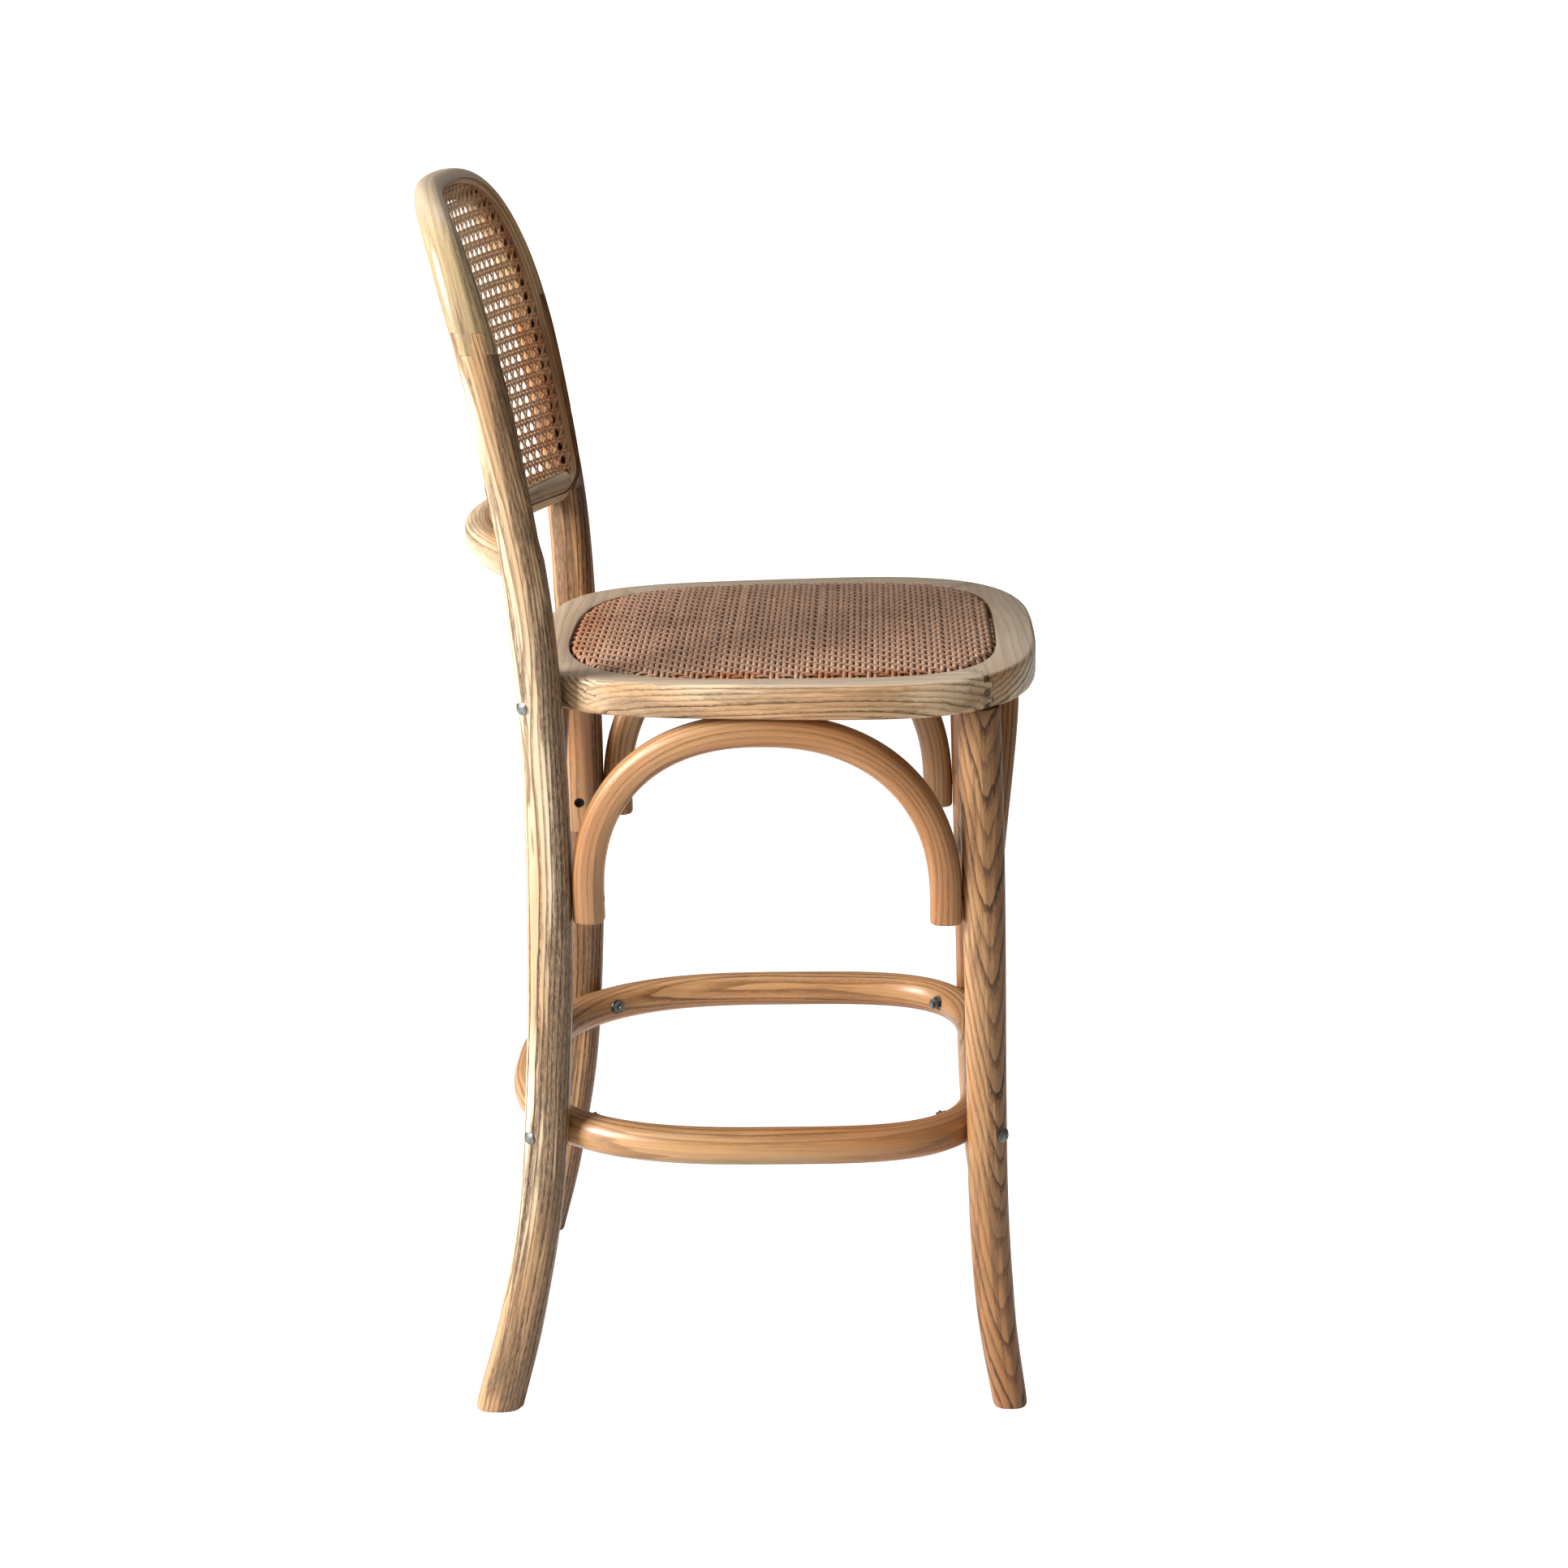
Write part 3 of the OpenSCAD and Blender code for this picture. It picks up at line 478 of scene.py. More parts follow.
def finish_piece(piece, material, slot, *replaces, angle=40):
    """Smooths a piece, gives it its material and hangs it on the frame in place of its node."""
    use(piece)
    bpy.ops.object.shade_smooth_by_angle(angle=math.radians(angle))
    piece.data.materials.clear()
    piece.data.materials.append(material)
    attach(piece, "root")
    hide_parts(*replaces)


def cylinder_along(origin, direction, r, low, high, sides=32):
    """A cylinder from low to high along a direction from an origin, in millimetres."""
    clear_selection()
    d = Vector(direction).normalized()
    centre = Vector(origin) + d * (low + high) / 2
    bpy.ops.mesh.primitive_cylinder_add(
        vertices=sides,
        radius=r * MM,
        depth=(high - low) * MM,
        location=centre * MM,
        rotation=d.to_track_quat("Z", "Y").to_euler(),
    )
    tool = bpy.context.active_object
    bpy.ops.object.transform_apply(location=True, rotation=True, scale=True)
    return tool


def join(pieces):
    """Joins pieces into the first one."""
    clear_selection()
    for p in pieces:
        p.select_set(True)
    bpy.context.view_layer.objects.active = pieces[0]
    bpy.ops.object.join()
    return pieces[0]


# ---- Shader nodes ----
class Wiring:
    """Adds and links shader nodes in one tree."""

    def __init__(self, tree):
        self.tree = tree

    def node(self, kind, inputs=None, **settings):
        made = self.tree.nodes.new(kind)
        for key, value in settings.items():
            setattr(made, key, value)
        for key, value in (inputs or {}).items():
            self.feed(made.inputs[key], value)
        return made

    def feed(self, socket, value):
        if isinstance(value, bpy.types.NodeSocket):
            self.tree.links.new(value, socket)
        elif value is not None:
            socket.default_value = value

    def math(self, operation, a, b=None, c=None, clamp=False):
        made = self.node("ShaderNodeMath", operation=operation, use_clamp=clamp)
        for i, value in enumerate((a, b, c)):
            self.feed(made.inputs[i], value)
        return made.outputs[0]

    def vector(self, operation, a, b=None, scale=None):
        made = self.node("ShaderNodeVectorMath", operation=operation)
        self.feed(made.inputs[0], a)
        if b is not None:
            self.feed(made.inputs[1], b)
        if scale is not None:
            self.feed(made.inputs["Scale"], scale)
        return made.outputs[0]

    def noise(self, vector, scale=1.0, detail=2.0, rough=0.5, distortion=0.0):
        inputs = {"Vector": vector, "Scale": scale, "Detail": detail}
        return self.node("ShaderNodeTexNoise", inputs | {"Roughness": rough, "Distortion": distortion})

    def ramp(self, value, low, high, to_low=0.0, to_high=1.0, smooth=True):
        made = self.node("ShaderNodeMapRange", interpolation_type="SMOOTHSTEP" if smooth else "LINEAR")
        values = (value, low, high, to_low, to_high)
        for key, v in zip(("Value", "From Min", "From Max", "To Min", "To Max"), values):
            self.feed(made.inputs[key], v)
        return made.outputs["Result"]

    def dot(self, a, b):
        made = self.node("ShaderNodeVectorMath", operation="DOT_PRODUCT")
        self.feed(made.inputs[0], a)
        self.feed(made.inputs[1], b)
        return made.outputs["Value"]

    def split(self, vector):
        return self.node("ShaderNodeSeparateXYZ", {"Vector": vector}).outputs

    def mix(self, factor, a, b, blend="MIX"):
        made = self.node("ShaderNodeMix", data_type="RGBA", blend_type=blend)
        self.feed(made.inputs["Factor"], factor)
        self.feed(made.inputs["A"], a)
        self.feed(made.inputs["B"], b)
        return made.outputs["Result"]

    def stretched(self, vector, x, y, z):
        return self.vector("MULTIPLY", vector, (x, y, z))


def new_group(name, inputs, outputs):
    """A node group with its sockets, and the wiring and end nodes to fill it with."""
    group = bpy.data.node_groups.new(name, "ShaderNodeTree")
    for label, kind, default in inputs:
        socket = group.interface.new_socket(name=label, in_out="INPUT", socket_type=kind)
        if default is not None:
            socket.default_value = default
    for label, kind in outputs:
        group.interface.new_socket(name=label, in_out="OUTPUT", socket_type=kind)
    w = Wiring(group)
    return group, w, w.node("NodeGroupInput"), w.node("NodeGroupOutput")


def srgb(r, g, b):
    """Linear colour from 0 to 255 display values."""
    def linear(v):
        v /= 255
        return v / 12.92 if v <= 0.04045 else ((v + 0.055) / 1.055) ** 2.4
    return (linear(r), linear(g), linear(b), 1.0)


def grain_group():
    """Open-grain wood: growth rings round a wandering pith, with dark-filled pores in each ring, and painted
    shade with more pores and dark streaks on one side, partly real dark heartwood.
    """
    name = "open_grain_wood"
    if name in bpy.data.node_groups:
        return bpy.data.node_groups[name]
    colour, number, vector = "NodeSocketColor", "NodeSocketFloat", "NodeSocketVector"
    group, w, source, out = new_group(
        name,
        [
            ("Blank", vector, None),
            ("Seed", number, 0.0),
            ("Pith", vector, (0.03, 0.05, 0.0)),
            ("Ring Width", number, 0.0032),
            ("Wander", number, 0.02),
            ("Cathedral", number, 0.0),
            ("Light", colour, srgb(216, 182, 140)),
            ("Tan", colour, srgb(188, 146, 102)),
            ("Grey", colour, srgb(150, 134, 112)),
            ("Dark", colour, srgb(58, 44, 32)),
            ("Pores", number, 0.8),
            ("Greying", number, 0.5),
            ("Stain", number, 0.5),
            ("Side", vector, (0.0, 0.0, 0.0)),
        ],
        [("Colour", colour), ("Roughness", number), ("Height", number)],
    )
    i = source.outputs
    shift = w.vector("SCALE", (1.7, 3.1, 5.3), scale=i["Seed"])
    p = w.vector("ADD", i["Blank"], shift)
    wander = w.noise(w.stretched(p, 7, 7, 2.6), detail=1.0).outputs["Color"]
    push = w.vector("SCALE", w.vector("SUBTRACT", wander, (0.5, 0.5, 0.5)), scale=i["Wander"])
    q = w.vector("ADD", w.vector("SUBTRACT", i["Blank"], i["Pith"]), push)
    flat = w.vector("MULTIPLY", q, (1, 1, 0))
    length = w.node("ShaderNodeVectorMath", operation="LENGTH")
    w.feed(length.inputs[0], flat)
    waver = w.noise(w.stretched(p, 120, 120, 9), detail=2.0).outputs["Fac"]
    drift = w.math("MULTIPLY", w.split(q)["Z"], i["Cathedral"])
    radius = w.math("ADD", length.outputs["Value"], drift)
    rings = w.math("ADD", w.math("DIVIDE", radius, i["Ring Width"]), w.math("MULTIPLY", waver, 0.9))
    part = w.math("FRACT", rings)
    ring_tone = w.node("ShaderNodeTexWhiteNoise", noise_dimensions="1D")
    w.feed(ring_tone.inputs["W"], w.math("FLOOR", rings))
    strength = w.ramp(ring_tone.outputs["Value"], 0.0, 1.0, 0.42, 1.0, False)
    rise = w.ramp(part, 0.0, 0.07)
    fall = w.ramp(part, 0.12, 0.66, 1.0, 0.0)
    band = w.math("MULTIPLY", w.math("MULTIPLY", rise, fall), strength)
    edge = w.math("MULTIPLY", w.math("MULTIPLY", rise, w.ramp(part, 0.10, 0.34, 1.0, 0.0)), strength)
    pore = w.noise(w.stretched(p, 1300, 1300, 120), detail=2.0, rough=0.7).outputs["Fac"]
    pore = w.ramp(pore, 0.42, 0.55)
    patch = w.ramp(w.noise(w.stretched(p, 26, 26, 5), detail=2.0).outputs["Fac"], 0.34, 0.60, 0.55, 1.0)
    dots = w.math("MAXIMUM", w.math("MULTIPLY", band, pore), w.math("MULTIPLY", edge, 0.9))
    fibre = w.noise(w.stretched(p, 900, 900, 16), detail=2.0, rough=0.6).outputs["Fac"]
    broad = w.noise(w.stretched(p, 16, 16, 3.0), detail=2.0).outputs["Fac"]
    base = w.mix(w.ramp(broad, 0.36, 0.66), i["Light"], i["Tan"])
    base = w.mix(w.math("MULTIPLY", band, 0.75), base, i["Tan"])
    cloud = w.ramp(w.noise(w.stretched(p, 34, 34, 4.5), detail=3.0).outputs["Fac"], 0.48, 0.68)
    base = w.mix(w.math("MULTIPLY", cloud, i["Greying"]), base, i["Grey"])
    lift = w.ramp(fibre, 0.3, 0.7, 0.84, 1.10, False)
    tone = w.node("ShaderNodeCombineColor", {"Red": lift, "Green": lift, "Blue": lift})
    base = w.mix(1.0, base, tone.outputs[0], "MULTIPLY")
    streak = w.noise(w.stretched(p, 75, 75, 5.5), detail=3.0, rough=0.6, distortion=0.6).outputs["Fac"]
    # Painted shade, partly real dark heartwood: towards the shaded side, away from the key light, the wood
    # gets more pores and dark streaks.
    toward_shaded_side = w.dot(w.vector("ADD", i["Blank"], w.vector("SCALE", push, scale=0.25)), i["Side"])
    side = w.ramp(toward_shaded_side, -0.002, 0.006)
    dots = w.math("MULTIPLY", dots, w.math("MAXIMUM", patch, side))
    streak = w.math("ADD", streak, w.math("MULTIPLY", side, 0.17))
    streak = w.math("MULTIPLY", w.ramp(streak, 0.52, 0.63), i["Stain"])
    streak = w.math("MULTIPLY", streak, w.math("ADD", w.math("MULTIPLY", pore, 0.35), 0.65))
    base = w.mix(streak, base, w.mix(0.3, i["Dark"], i["Tan"]))
    full = w.mix(w.math("MULTIPLY", dots, i["Pores"]), base, i["Dark"])
    w.feed(out.inputs["Colour"], full)
    rough = w.math("ADD", w.math("MULTIPLY", dots, 0.3), w.ramp(fibre, 0.3, 0.7, 0.34, 0.46, False))
    w.feed(out.inputs["Roughness"], rough)
    height = w.math("SUBTRACT", w.math("MULTIPLY", fibre, 0.25), dots)
    w.feed(out.inputs["Height"], height)
    return group


def blank_vector(w, from_place=False):
    """The grain's own coordinates: across the section in X and Y, along the grain in Z."""
    if from_place:
        return w.node("ShaderNodeTexCoord").outputs["Object"]
    across = w.split(w.node("ShaderNodeUVMap", uv_map="grain_across").outputs[0])
    along = w.split(w.node("ShaderNodeUVMap", uv_map="grain_along").outputs[0])
    return w.node("ShaderNodeCombineXYZ", {"X": across["X"], "Y": across["Y"], "Z": along["X"]}).outputs[0]


def new_material(name):
    """A material, its wiring and its Principled shader."""
    material = bpy.data.materials.new(name)
    material.use_nodes = True
    w = Wiring(material.node_tree)
    shader = material.node_tree.nodes["Principled BSDF"]
    return material, w, shader


# How each blank was sawn and how it has weathered, with painted shade on one side and, on some, a painted
# grey sheen on the top. The pith and the side with painted shade are across the section, in metres.
WOODS = {
    "oak_rear_left": dict(
        seed=2.3, pith=(-0.05, 0.03, 0), pores=0.95, greying=0.5, stain=0.8, side=(-0.9, -0.6, 0)
    ),
    "oak_rear_right": dict(
        seed=7.9, pith=(0.032, 0.026, 0), ring=0.0038, pores=0.95, greying=0.15, stain=0.95, tone="plain",
        side=(0.1, -1.0, 0)
    ),
    "oak_front_left": dict(
        seed=4.4, pith=(0.04, -0.04, 0), pores=0.95, greying=0.6, stain=0.7, side=(-0.7, -0.7, 0)
    ),
    "oak_front_right": dict(
        seed=11.2, pith=(0.009, -0.004, 0), ring=0.0042, wander=0.016, pores=0.9, greying=0.15, stain=0.6,
        cathedral=-0.14, side=(0.1, -0.9, 0)
    ),
    # The bow gets painted shade on one side and a painted pale grey sheen on its top.
    "pale_oak_bow": dict(
        seed=5.6, pith=(0.03, -0.05, 0), ring=0.0042, pores=0.65, greying=0.45, stain=0.6, tone="pale",
        side=(-0.8, 0.2, 0), top_sheen_above=(1.02, 1.055, 0.7)
    ),
    "oak_back_rail": dict(
        seed=3.3, pith=(0.02, 0.06, 0), ring=0.0030, wander=0.02, pores=0.6, greying=0.85, stain=0.4,
        tone="plain"
    ),
    "oak_cane_frame": dict(
        seed=9.1, pith=(0.02, 0.03, 0), ring=0.0028, wander=0.01, pores=0.35, greying=0.9, stain=0.4,
        tone="plain"
    ),
    "oak_footrest": dict(
        seed=6.5, pith=(0.012, -0.034, 0), ring=0.0042, wander=0.04, pores=0.65, greying=0.35, stain=0.25
    ),
    "oak_side_arch_left": dict(seed=8.3, pith=(0.02, 0.045, 0), pores=0.45, greying=0.35, stain=0.12),
    "oak_side_arch_right": dict(
        seed=12.9, pith=(-0.015, 0.05, 0), ring=0.0044, pores=0.45, greying=0.3, stain=0.12
    ),
    "oak_front_arch": dict(seed=15.1, pith=(0.03, 0.03, 0), pores=0.6, greying=0.45, stain=0.3),
    "oak_rear_arch": dict(seed=17.7, pith=(0.03, 0.03, 0), pores=0.6, greying=0.45, stain=0.3),
    "birch_board": dict(
        seed=21.0, pith=(0.5, 0.2, 0.6), ring=0.006, wander=0.04, pores=0.2, greying=0.2, stain=0.4,
        tone="pale", place=True
    ),
    "oak_dowels": dict(
        seed=23.0, pith=(0.1, 0.2, 0.7), wander=0.02, pores=0.4, greying=0.2, stain=0.4,
        tone="plain", place=True
    ),
}


def wood(name):
    """One of the woods listed above, as a material."""
    return wood_material(name, **WOODS[name])


def wood_material(
    name,
    seed,
    pith,
    pores,
    greying,
    stain,
    ring=0.0040,
    wander=0.03,
    cathedral=0.0,
    tone="warm",
    side=(0.0, 0.0, 0.0),
    place=False,
    top_sheen_above=None,
    fingers=(),
):
    """Satin open-grain wood, with painted shade on one side. Its top face may get a painted pale grey sheen
    of the surround, and end grain at finger joints is dark.
    """
    props = bpy.context.scene.stool_finish
    material, w, shader = new_material(name)
    tones = {
        "plain": (props.light, props.tan),
        "pale": (props.pale_light, props.pale_tan),
        "warm": (props.warm_light, props.warm_tan),
    }[tone]
    grain = w.node("ShaderNodeGroup", node_tree=grain_group())
    for key, value in (
        ("Blank", blank_vector(w, place)),
        ("Seed", seed),
        ("Pith", pith),
        ("Ring Width", ring),
        ("Wander", wander),
        ("Cathedral", cathedral),
        ("Light", (*tones[0], 1.0)),
        ("Tan", (*tones[1], 1.0)),
        ("Grey", (*props.grey, 1.0)),
        ("Dark", (*props.dark, 1.0)),
        ("Pores", pores),
        ("Greying", greying),
        ("Stain", stain),
        ("Side", side),
    ):
        w.feed(grain.inputs[key], value)
    base = grain.outputs["Colour"]
    spot = w.node("ShaderNodeTexCoord").outputs["Object"]
    # Painted sheen: the top faces are mixed towards a pale grey, as the surround's light falls on them.
    if top_sheen_above:
        low, high, amount = top_sheen_above
        top_sheen = w.math("MULTIPLY", w.ramp(w.split(spot)["Z"], low, high), amount)
        base = w.mix(top_sheen, base, (*props.top_sheen, 1.0))
    for angle, sign in fingers:
        base = w.mix(finger_mask(w, spot, angle, sign), base, (*props.dark, 1.0))
    w.feed(shader.inputs["Base Color"], base)
    w.feed(shader.inputs["Roughness"], grain.outputs["Roughness"])
    bump = w.node("ShaderNodeBump", {"Height": grain.outputs["Height"], "Strength": 0.5, "Distance": 0.0004})
    w.feed(shader.inputs["Normal"], bump.outputs["Normal"])
    shader.inputs["Specular IOR Level"].default_value = 0.45
    shader.inputs["Coat Weight"].default_value = 0.3
    shader.inputs["Coat Roughness"].default_value = 0.24
    return material


def finger_mask(w, spot, angle, sign):
    """Dark end grain in the fingers of one seat corner, fainter on the top face."""
    centred = w.vector("SUBTRACT", spot, (0, SEAT_MID_Y * MM, SEAT_UNDER * MM))
    across = w.dot(centred, (-math.sin(angle), math.cos(angle), 0))
    out = w.dot(centred, (math.cos(angle), math.sin(angle), 0))
    layer = w.math("FLOOR", w.math("DIVIDE", w.split(centred)["Z"], SEAT_LAYER * MM))
    side = w.math("SUBTRACT", w.math("MULTIPLY", w.math("PINGPONG", layer, 1.0), -2.0), -1.0)
    place = w.math("MULTIPLY", w.math("MULTIPLY", across, side), sign)
    near = w.math("MULTIPLY", w.ramp(place, -0.0045, 0.0005), w.ramp(place, 0.0056, 0.0060, 1.0, 0.0))
    blotch = w.noise(w.stretched(spot, 320, 320, 500), detail=2.0).outputs["Fac"]
    top = w.ramp(w.split(spot)["Z"], (SEAT_H - 3) * MM, (SEAT_H - 0.8) * MM, 1.0, 0.25)
    near = w.math("MULTIPLY", near, top)
    mask = w.math("MULTIPLY", near, w.ramp(blotch, 0.36, 0.56, 0.25, 0.95))
    return w.math("MULTIPLY", mask, w.ramp(out, 0.0, 0.01))


def strand_material(name, light, mid, dark, warm, warm_from=(), under_shade=0.0):
    """Stained cane or rattan: each strand has its own tone and fine fibres, with painted shade where it dips
    under.
    """
    material, w, shader = new_material(name)
    blank = blank_vector(w)
    place = w.node("ShaderNodeTexCoord").outputs["Object"]
    tone = w.noise(w.stretched(blank, 0, 0, 3.0), detail=3.0).outputs["Fac"]
    base = w.mix(w.ramp(tone, 0.35, 0.65), mid, light)
    cloud = w.noise(w.stretched(place, 14, 14, 14), detail=3.0).outputs["Fac"]
    base = w.mix(w.ramp(cloud, 0.46, 0.74, 0.0, 0.22), base, dark)
    fibre = w.noise(w.stretched(blank, 2600, 2600, 60), detail=1.0).outputs["Fac"]
    base = w.mix(w.ramp(fibre, 0.5, 0.75, 0.0, 0.35), base, dark)
    for axis, low, high in warm_from:
        edge = w.ramp(w.split(place)[axis], low, high)
        spread = w.noise(w.stretched(place, 22, 22, 22), detail=2.0).outputs["Fac"]
        edge = w.math("MULTIPLY", edge, w.ramp(spread, 0.35, 0.6, 0.4, 1.0))
        base = w.mix(edge, base, warm)
    # Painted shade where a strand dips under the strands that cross it.
    level = w.split(w.node("ShaderNodeUVMap", uv_map="grain_along").outputs[0])["Y"]
    under_shade_mix = w.ramp(level, 0.1, 0.75, under_shade, 0.0)
    base = w.mix(under_shade_mix, base, dark)
    w.feed(shader.inputs["Base Color"], base)
    w.feed(shader.inputs["Roughness"], w.ramp(fibre, 0.3, 0.8, 0.36, 0.55))
    bump = w.node("ShaderNodeBump", {"Height": fibre, "Strength": 0.35, "Distance": 0.0003})
    w.feed(shader.inputs["Normal"], bump.outputs["Normal"])
    shader.inputs["Specular IOR Level"].default_value = 0.5
    return material


def steel_material(name, tone, roughness):
    """Plated steel with a fine uneven finish and dark specks."""
    material, w, shader = new_material(name)
    place = w.node("ShaderNodeTexCoord").outputs["Object"]
    cloud = w.noise(w.stretched(place, 260, 260, 260), detail=3.0).outputs["Fac"]
    fine = w.noise(w.stretched(place, 1600, 1600, 1600), detail=2.0).outputs["Fac"]
    dull = tuple(0.55 * c for c in tone[:3]) + (1.0,)
    w.feed(shader.inputs["Base Color"], w.mix(w.ramp(cloud, 0.4, 0.75), tone, dull))
    w.feed(shader.inputs["Roughness"], w.ramp(cloud, 0.3, 0.8, roughness, roughness + 0.25))
    bump = w.node("ShaderNodeBump", {"Height": fine, "Strength": 0.25, "Distance": 0.0002})
    w.feed(shader.inputs["Normal"], bump.outputs["Normal"])
    shader.inputs["Metallic"].default_value = 1.0
    return material


def plain_fibre_material(name, tone, dark, scale):
    """A matt fibrous surface for the parts inside and under the seat."""
    material, w, shader = new_material(name)
    place = w.node("ShaderNodeTexCoord").outputs["Object"]
    fleck = w.noise(w.stretched(place, scale, scale, scale * 0.3), detail=3.0).outputs["Fac"]
    w.feed(shader.inputs["Base Color"], w.mix(w.ramp(fleck, 0.35, 0.7), tone, dark))
    bump = w.node("ShaderNodeBump", {"Height": fleck, "Strength": 0.3, "Distance": 0.0005})
    w.feed(shader.inputs["Normal"], bump.outputs["Normal"])
    shader.inputs["Roughness"].default_value = 0.85
    return material


# ---- Settings ----
def colour_property(name, description, value):
    default = srgb(*value)[:3]
    return bpy.props.FloatVectorProperty(
        name=name, description=description, subtype="COLOR", size=3, min=0.0, max=1.0, default=default
    )


class StoolFinish(bpy.types.PropertyGroup):
    """Colours of the wood, cane, rattan and steel."""

    light: colour_property("Light wood", "Pale part of the limed wood", (228, 206, 174))
    tan: colour_property("Tan wood", "Darker part of the limed wood", (192, 152, 110))
    grey: colour_property("Weathered wood", "Greyed clouds in the wood", (142, 124, 102))
    # The painted pale grey sheen that the surround's light gives the top faces.
    top_sheen: colour_property("Top sheen", "Painted pale grey sheen of the surround on the top faces", (184, 167, 147))
    dark: colour_property("Filled pores", "Dark filler in the open grain", (34, 23, 14))
    pale_light: colour_property("Light bow", "Pale part of the top bow", (203, 180, 140))
    pale_tan: colour_property("Tan bow", "Darker part of the top bow", (196, 166, 122))
    warm_light: colour_property("Light warm wood", "Pale part of the arches and footrest", (189, 147, 103))
    warm_tan: colour_property("Tan warm wood", "Darker part of the arches and footrest", (168, 118, 74))
    cane: colour_property("Cane", "Stained cane of the back", (232, 196, 156))
    rattan: colour_property("Rattan", "Stained rattan of the seat", (196, 158, 132))
    steel: colour_property("Steel", "Plated steel of the bolts and nuts", (136, 136, 134))


class StoolWeave(bpy.types.PropertyGroup):
    """Pitch and size of the woven strands."""

    cane_pitch: bpy.props.FloatProperty(
        name="Cane pitch", description="Distance between the holes of the cane", default=0.0127, unit="LENGTH"
    )
    cane_strand: bpy.props.FloatProperty(
        name="Cane strand", description="Width of one cane strand", default=0.0023, unit="LENGTH"
    )
    rattan_pitch: bpy.props.FloatProperty(
        name="Rattan pitch", description="Distance between wide strands", default=0.0051, unit="LENGTH"
    )


class StoolStage(bpy.types.PropertyGroup):
    """Light and camera."""

    key_power: bpy.props.FloatProperty(
        name="Key light", description="Power of the large soft light", default=138.0, unit="POWER"
    )
    fill_power: bpy.props.FloatProperty(
        name="Fill light", description="Power of the weak light from the front", default=2.0, unit="POWER"
    )
    top_power: bpy.props.FloatProperty(
        name="Top light", description="Power of the soft light overhead", default=22.0, unit="POWER"
    )
    sky: bpy.props.FloatProperty(name="Surround", description="Brightness of the pale surround", default=0.19)
    lens: bpy.props.FloatProperty(
        name="Lens", description="Focal length on a 36 mm wide sensor", default=71.37, unit="CAMERA"
    )


# ---- Pieces ----
def post_joint_cutter(lift):
    """The stepped solid above the finger joints of both posts."""
    half = (POST_D + 8) / 2
    centre_y = back_y(hoop_half(JOINT_Z), JOINT_Z)
    step = 2 * half / 4
    profile = [(-150.0, 400.0)]
    for i in range(4):
        z = lift + (-1 if i % 2 == 0 else 1) * JOINT_FINGER * 0.8
        left = -150.0 if i == 0 else -half + i * step
        right = 250.0 if i == 3 else -half + (i + 1) * step
        profile += [(left, z), (right, z)]
    profile.append((250.0, 400.0))
    loops = [[(x, centre_y + y, JOINT_Z + z) for y, z in profile] for x in (-300.0, 300.0)]
    return plain_solid("joint_tool", loops, len(profile))


def rebate_cutter(width=24.0):
    """The band cut into the front of the back for the cane and its frame."""
    inset = width / 2 - CANE_FRAME_W / 2 - 0.3
    loop = cane_loop(inset, 30)
    path = [on_back(x, z, cane_front(z) - CANE_FRAME_D - 0.3 + 20) for x, z in loop]
    return bent_bar("rebate_tool", path, [(40.0, width)] * len(path), (0, 1, 0), 40, 4, closed=True)


def make_rear_legs():
    """Rear legs with their posts, cut for the bow and for the cane."""
    heights = np.linspace(0, JOINT_Z + 2 * JOINT_FINGER, 150)
    path = [rear_at(z) if z <= ROUND_Z else on_back(hoop_half(z), z) for z in heights]
    leg = bent_bar(
        "rear_leg_left",
        path,
        [rear_size(z) for z in heights],
        (1, 0, 0),
        WOOD_POWER,
        36,
        ends=((0, 0, 1), (0, 0, 1)),
        soften=1.6,
        start=0.3,
    )
    cut(leg, post_joint_cutter(0.0))
    cut(leg, rebate_cutter())
    other = mirrored(leg, "rear_leg_right")
    finish_piece(leg, wood("oak_rear_left"), "oak", "rear_leg_left")
    finish_piece(other, wood("oak_rear_right"), "oak", "rear_leg_right")


def make_front_legs():
    """Front legs with their round tenons."""
    heights = np.linspace(0, SEAT_UNDER, 100)
    leg = bent_bar(
        "front_leg_left",
        [front_at(z) for z in heights],
        [front_size(z) for z in heights],
        (1, 0, 0),
        WOOD_POWER,
        36,
        ends=((0, 0, 1), (0, 0, 1)),
        soften=1.6,
    )
    tenon = cylinder_along((*FRONT_TOP, SEAT_UNDER), (0, 0, 1), 10.5, -1, 18)
    leg = join([leg, tenon])
    other = mirrored(leg, "front_leg_right")
    finish_piece(leg, wood("oak_front_left"), "oak", "front_leg_left")
    finish_piece(other, wood("oak_front_right"), "oak", "front_leg_right")


def make_bow():
    """Pale bow over the top, fitted into both posts."""
    low = JOINT_Z - 2 * JOINT_FINGER
    start = math.atan2(low - ROUND_Z, hoop_half(low))
    angles = np.linspace(start, math.pi - start, 190)
    path = [on_back(*hoop_at(a)) for a in angles]
    bow = bent_bar(
        "top_bow",
        path,
        [bow_size(p[2]) for p in path],
        (0, 1, 0),
        WOOD_POWER,
        36,
        ends=((0, 0, 1), (0, 0, -1)),
        start=2.0,
    )
    cut(bow, post_joint_cutter(0.25), "INTERSECT")
    cut(bow, rebate_cutter())
    finish_piece(bow, wood("pale_oak_bow"), "pale_oak", "top_bow")


